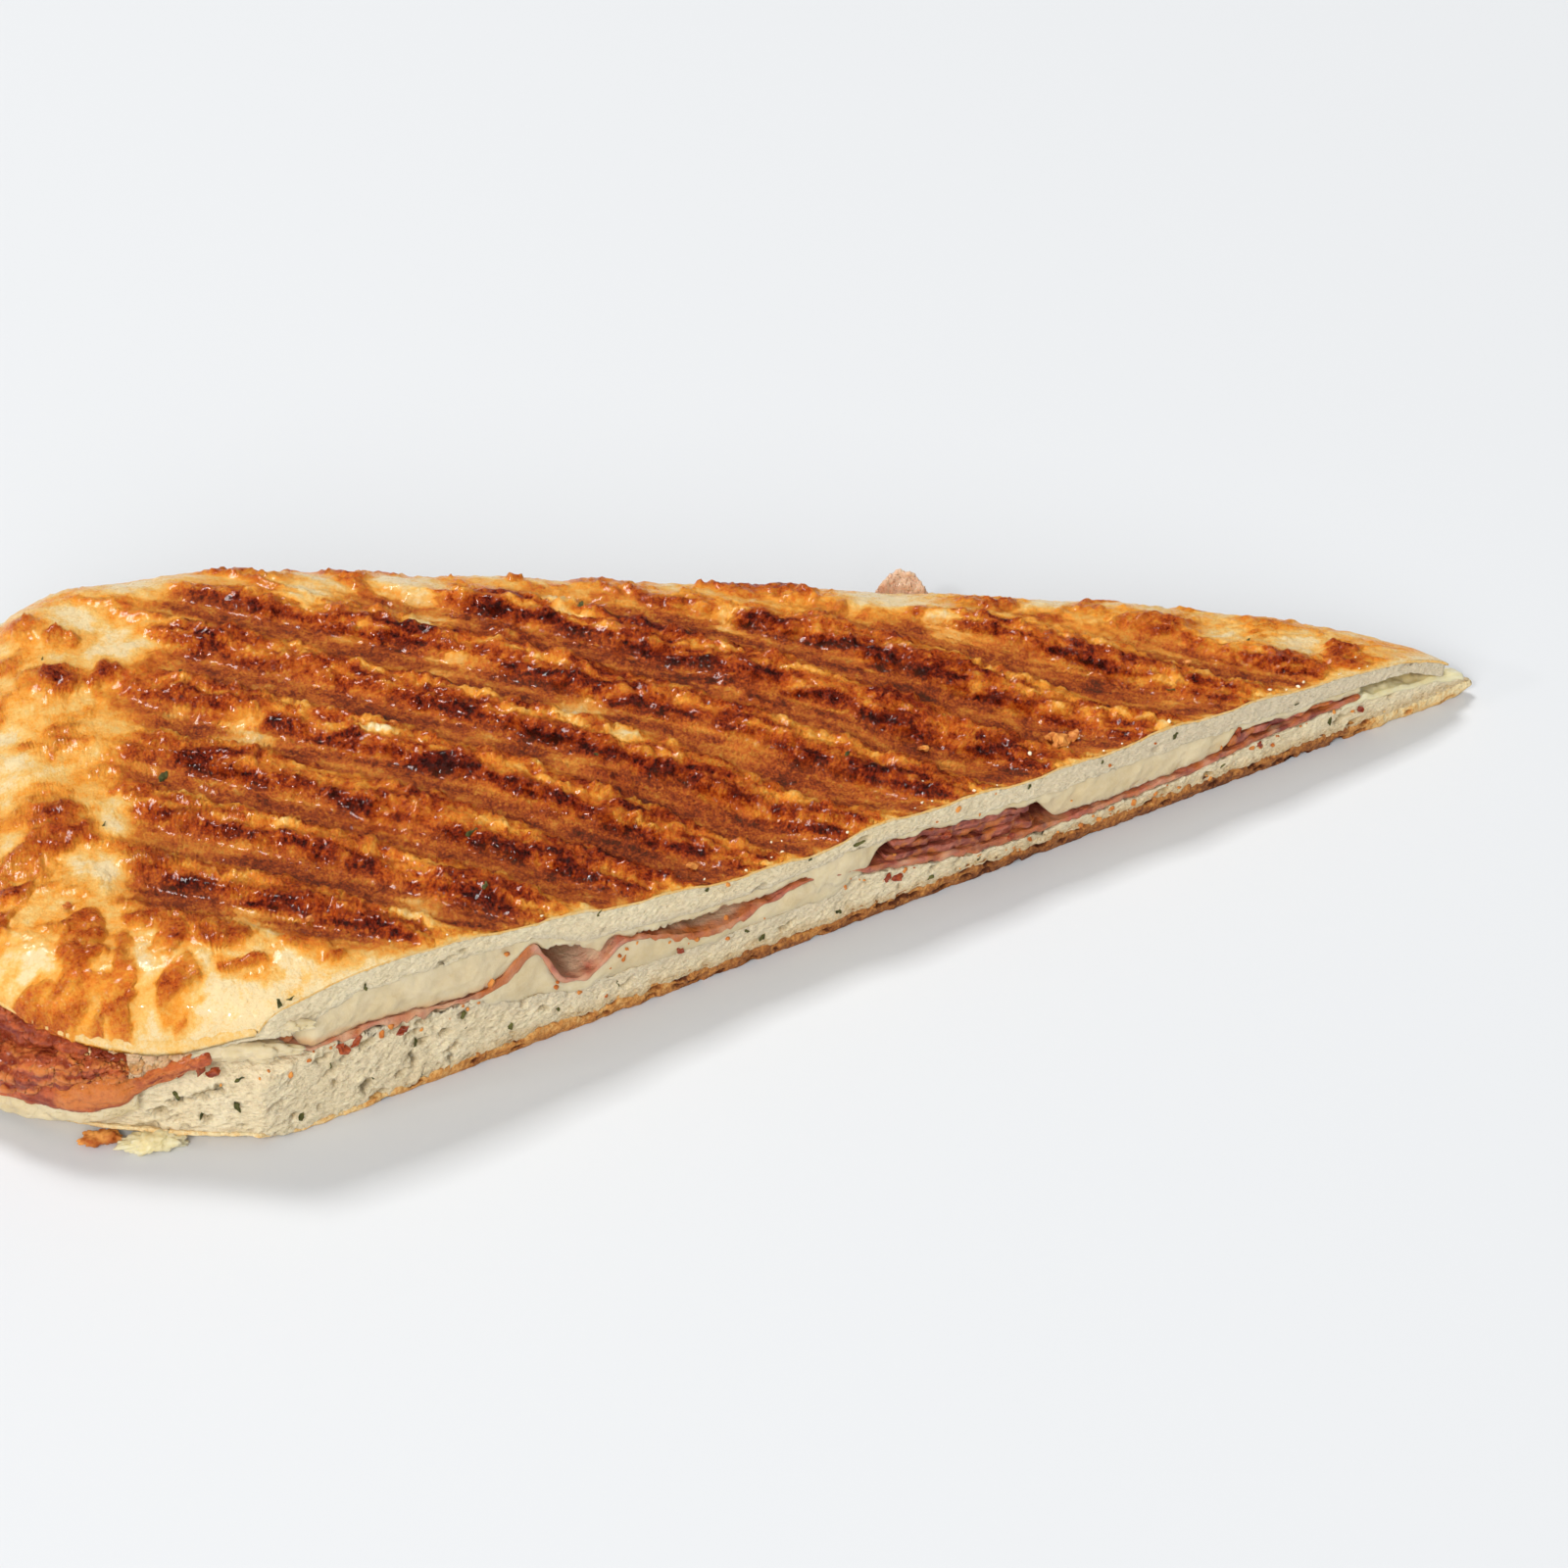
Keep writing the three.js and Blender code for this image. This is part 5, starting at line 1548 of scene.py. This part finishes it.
def scatter_chips(name, finish, spots, length, width, thickness, unevenness, seed):
    """One piece of chips at spots, which are places, facings and a share of the size for each."""
    places, facing, share = spots
    mesh = bpy.data.meshes.new(name + "_places")
    mesh.from_pydata((places + CENTRING) * MM, [], [])
    mesh.attributes.new("facing", "FLOAT_VECTOR", "POINT").data.foreach_set(
        "vector", facing.ravel()
    )
    mesh.attributes.new("share", "FLOAT", "POINT").data.foreach_set("value", share)
    host = link(name + "_places", mesh)
    chips = host.modifiers.new("chips", "NODES")
    chips.node_group = CHIPS
    values = {"Length": length * MM, "Width": width * MM, "Thickness": thickness * MM,
              "Unevenness": unevenness * MM, "Seed": seed, "Finish": finish}
    for socket in CHIPS.interface.items_tree:
        if socket.in_out == "INPUT" and socket.name in values:
            chips[socket.identifier] = values[socket.name]
    evaluated = host.evaluated_get(bpy.context.evaluated_depsgraph_get())
    result = bpy.data.meshes.new_from_object(evaluated)
    bpy.data.objects.remove(host)
    return link(name, result)


CUT_FACING = (math.sin(CUT_ANGLE), -math.cos(CUT_ANGLE), 0.0)
CHIPS_STAND_OUT = 0.12


def on_cut(spots):
    """Places, facings and sizes of spots (s, z, share) on the cut or the wall beside its start."""
    s, z, share = np.array(sorted(spots, key=lambda spot: spot[0]), float).T
    _, near, _ = chords(lambda a, w: BOTTOM.inside(*place(a, w)) - 0.4, s)
    x, y = place(s, near - CHIPS_STAND_OUT)
    return np.stack([x, y, z], 1), np.tile(CUT_FACING, (len(s), 1)), share


def on_crust(spots, proud):
    """Places, facings and sizes of spots (x, y, share) on the griddled crust."""
    x, y, share = np.array(spots, float).T
    z = crown_height(*from_plan(x, y)) + crust_fields(x, y)[0] + proud
    return np.stack([x, y, z], 1), np.tile((0.0, 0.0, 1.0), (len(x), 1)), share


def joined(*groups):
    return tuple(np.concatenate(parts) for parts in zip(*groups))


# Herb flecks on the cut as (s, height, share of full size), and on the crust as (x, y, share).
HERBS_ON_CUT = [
    (-77, 22.2, 1.1), (-75.6, 22.4, 0.6), (-65, 19.9, 0.7), (-51, 9.2, 0.9), (-50.5, 7.4, 0.7),
    (-44.1, 4.6, 0.8), (-82, 10.7, 0.9), (-82.2, 6.3, 1.1), (-74.2, 2.6, 1.0), (8.3, 13.6, 1.0),
    (-15.1, 15.2, 0.6), (-31.1, 17.9, 0.7), (0.7, 13.9, 0.5), (-8.6, 5.8, 0.8), (-6, 3.9, 1.0),
    (5.8, 3.1, 0.7), (20.1, 3.2, 0.9), (-27.9, 5, 0.5), (-58, 7.8, 0.7), (-64, 4.8, 0.6),
    (-70, 9, 0.5), (-37, 4.5, 0.5), (35.3, 12.6, 0.6), (59.2, 12.2, 0.8), (79.7, 9.8, 0.6),
    (47, 12.4, 0.4), (28, 3.4, 0.5), (44, 3.2, 0.4), (68, 3.6, 0.6), (86, 4.6, 0.9),
    (-88.5, 7.6, 1.0), (-90.4, 9.8, 0.7), (-92.6, 6.4, 0.8), (-86, 4.4, 0.8), (-95, 8.6, 0.6),
]
HERBS_ON_CRUST = [
    (-76.7, -2.4, 1.6), (-84, -13.6, 0.5), (-74.8, 17.4, 0.4), (-37.5, -13.2, 1.2),
    (-21.8, 35.9, 1.3), (-36, -25, 0.9), (57.9, 26.7, 0.9), (-20.6, 4.5, 0.5), (12.5, 8.2, 0.7),
    (-52, 30, 0.5), (70, 38, 0.6), (-93, 22, 0.5), (31, 30, 0.5),
]
# Torn bits of ham on the cut and loose flakes on the crust, in the same way.
HAM_BITS = [
    (-87.6, 12.2, 1.1), (-85.9, 12.4, 1.0), (-84.6, 11.8, 0.8), (-68.2, 11.2, 0.9),
    (-66.4, 11.6, 0.8), (-59.8, 10.6, 0.7), (-19, 7.0, 0.6), (14.9, 5.3, 0.8), (13.4, 5.9, 0.6),
    (22.3, 9.6, 0.6), (33, 5.0, 0.7), (70, 8.6, 0.5), (74, 5.0, 0.5), (91, 4.6, 0.6),
]
CRUST_FLAKES = [
    (42.1, 15.6, 1.25), (43.6, 16.6, 0.9), (41.2, 14.5, 0.7), (40.6, 16.4, 0.6), (-58, -32, 0.5),
    (-9, -14, 0.5), (23, 12, 0.45), (-47, 8, 0.4), (61, 33, 0.5), (-88, -30, 0.4),
]


def toasted_spots():
    """Small toasted crumbs, most of them just under the ham, some anywhere on the cut."""
    count = 90
    s = between(count, -86, 92, 401)
    below = np.abs(between(count, -1, 1, 402)) ** 1.5
    anywhere = mix(2.0, through(CROWN_AT_CUT, s) - 0.8, between(count, 0, 1, 404))
    under_ham = through(HAM_AT_CUT, s) - 0.8 - 2.2 * below
    z = np.where(between(count, 0, 1, 403) < 0.3, anywhere, under_ham)
    share = 0.35 + 0.75 * between(count, 0, 1, 405) ** 3
    return list(zip(s, np.maximum(z, 0.8), share))


def pale_spots():
    """A few pale crumbs on the crust by the cut."""
    count = 34
    s = between(count, -70, 95, 411)
    x, y = place(s, 0.5 + 5 * between(count, 0, 1, 412) ** 3)
    return list(zip(x, y, 0.4 + 0.6 * between(count, 0, 1, 413) ** 2))


# ---- Assembly ----


def fit(piece, slot, *nodes):
    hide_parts(*nodes)
    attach(piece, "root")


fit(top_crust(), "crust", "top_bread")
fit(top_crumb(), "bread", "top_bread")
fit(bottom_crust(), "bread", "bottom_bread")
fit(bottom_crumb(), "bread", "bottom_bread")
fit(upper_cheese(), "cheese", "cheese_upper")
fit(lower_cheese(), "cheese", "cheese_lower")
fit(ham_slice(), "ham", "ham_slice")
for number, (node, looks) in enumerate(LEAVES.items()):
    fit(leaf(node + "_leaf", *looks, seed=200 + 10 * number), "ham", node)

fit(tip_cheese(), "cheese", "cheese_tip")
fit(outer_flap(), "ham", "ham_flap_outer")
fit(inner_flap(), "ham", "ham_flap_inner")
fit(browned_scrap(), "ham_fat", "fat_scrap")
fit(set_drip(), "cheese", "cheese_drip")
fit(cheese_at_far_corner(), "cheese", "cheese_far_corner")
fit(ham_at_far_corner(), "ham", "ham_far_corner")
fit(ham_leaf_at_back(), "ham", "ham_back_tip")
fit(fallen_crumb(), "cheese", "cheese_crumb")

SWELL_1 = lump((-66.6, -47.1, 14.2), (6.2, 1.7, 1.6), 1, 0.34, 2.4, 381)
SWELL_2 = lump((-61.6, -46.9, 17.7), (3.6, 1.2, 1.1), 4, 0.36, 1.9, 382)
FLAKE = lump((-84.2, -48.2, 0.9), (2.6, 1.2, 0.9), 12, 0.35, 1.3, 391)
HERBS = joined(on_cut(HERBS_ON_CUT), on_crust(HERBS_ON_CRUST, 0.05))
TOASTED_SPOTS = on_cut(toasted_spots())
FLAKES = on_crust(CRUST_FLAKES, 0.45)
PALE_SPECKS = on_crust(pale_spots(), 0.1)

# Each small piece with its slot. They replace no solid.
SPRINKLED = [
    (SWELL_1.make("cheese_swell_1", WHITE_CHEESE), "cheese"),
    (SWELL_2.make("cheese_swell_2", WHITE_CHEESE), "cheese"),
    (FLAKE.make("fallen_flake", TOASTED), "crust"),
    (scatter_chips("herb_flecks", HERB, HERBS, 1.6, 0.65, 0.35, 1.0, 1), "bread"),
    (scatter_chips("toasted_crumbs", TOASTED, TOASTED_SPOTS, 1.1, 0.8, 0.7, 0.5, 2), "crust"),
    (scatter_chips("ham_bits", SINGED_HAM, on_cut(HAM_BITS), 2.6, 1.5, 0.7, 1.3, 3), "ham"),
    (scatter_chips("crust_flakes", TOASTED, FLAKES, 2.6, 2.0, 1.2, 1.6, 4), "crust"),
    (scatter_chips("pale_crumbs", PALE_CRUMB, PALE_SPECKS, 0.7, 0.55, 0.45, 0.3, 5), "bread"),
]
for piece, slot in SPRINKLED:
    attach(piece, "root")

# ---- Stage, light and camera ----

FLOOR_HALF_M = 9.0


def floor():
    mesh = bpy.data.meshes.new("floor")
    half = FLOOR_HALF_M
    corners = [(-half, -half, 0), (half, -half, 0), (half, half, 0), (-half, half, 0)]
    mesh.from_pydata(corners, [], [(0, 1, 2, 3)])
    mesh.materials.append(Finish("Pale floor").shade(
        Base_Color=(0.71, 0.72, 0.73, 1), Roughness=0.6, Specular_IOR_Level=0.2,
    ))
    link("floor", mesh)


def softbox(name, place_mm, size_mm, watts, mirrored=True):
    """An area light that aims at the middle of the sandwich."""
    light = bpy.data.lights.new(name, "AREA")
    light.shape = "RECTANGLE"
    light.size, light.size_y = size_mm[0] * MM, size_mm[1] * MM
    light.energy = watts
    obj = link(name, light)
    obj.visible_glossy = mirrored
    obj.location = Vector(place_mm) * MM
    obj.rotation_euler = (-obj.location).to_track_quat("-Z", "Y").to_euler()


def light_scene():
    """A pale room, dimmer as a light than as a backdrop, with two softboxes and two kickers."""
    world = bpy.data.worlds.new("Soft white room")
    world.use_nodes = True
    tree = world.node_tree
    tree.nodes.clear()
    path = add(tree, "ShaderNodeLightPath").outputs
    strength = add(tree, "ShaderNodeMath", {0: path["Is Camera Ray"], 1: 0.55, 2: 0.36},
                   operation="MULTIPLY_ADD").outputs[0]
    strength = add(tree, "ShaderNodeMath", {0: path["Is Glossy Ray"], 1: -0.26, 2: strength},
                   operation="MULTIPLY_ADD").outputs[0]
    sky = add(tree, "ShaderNodeBackground", {"Color": (0.96, 0.98, 1.0, 1), "Strength": strength})
    add(tree, "ShaderNodeOutputWorld", {"Surface": sky.outputs[0]})
    bpy.context.scene.world = world
    softbox("key", (-1200, 1920, 3600), (1200, 960), 98.0)
    softbox("fill", (-1040, -3680, 2240), (3600, 2400), 130.0, mirrored=False)
    softbox("kicker", (-1680, -3040, 2800), (300, 260), 34.0)
    softbox("left kicker", (-3600, -1400, 1800), (300, 260), 16.0)


CAMERA_AZIMUTH = math.radians(-5.7)
CAMERA_ELEVATION = math.radians(38)
CAMERA_ROLL = math.radians(3.2)
CAMERA_DISTANCE = 760.0
CAMERA_TARGET = np.array([4.4, 8.1, 12.0])
CLIP_M = (0.05, 40)
IMAGE_SIDE = 1600.0
FOCAL_IN_PIXELS = 5877.0
SENSOR = 36.0


def camera():
    data = bpy.data.cameras.new("camera")
    data.sensor_width = SENSOR
    data.lens = SENSOR * FOCAL_IN_PIXELS / IMAGE_SIDE
    data.clip_start, data.clip_end = CLIP_M
    obj = link("camera", data)
    back = Vector((
        math.sin(CAMERA_AZIMUTH) * math.cos(CAMERA_ELEVATION),
        -math.cos(CAMERA_AZIMUTH) * math.cos(CAMERA_ELEVATION),
        math.sin(CAMERA_ELEVATION),
    ))
    obj.location = Vector((CAMERA_TARGET + CENTRING) * MM) + back * CAMERA_DISTANCE * MM
    upright = (-back).to_track_quat("-Z", "Y")
    obj.rotation_euler = (upright @ Quaternion((0, 0, 1), CAMERA_ROLL)).to_euler()
    bpy.context.scene.camera = obj


floor()
light_scene()
camera()
bpy.context.scene.view_settings.view_transform = "Standard"
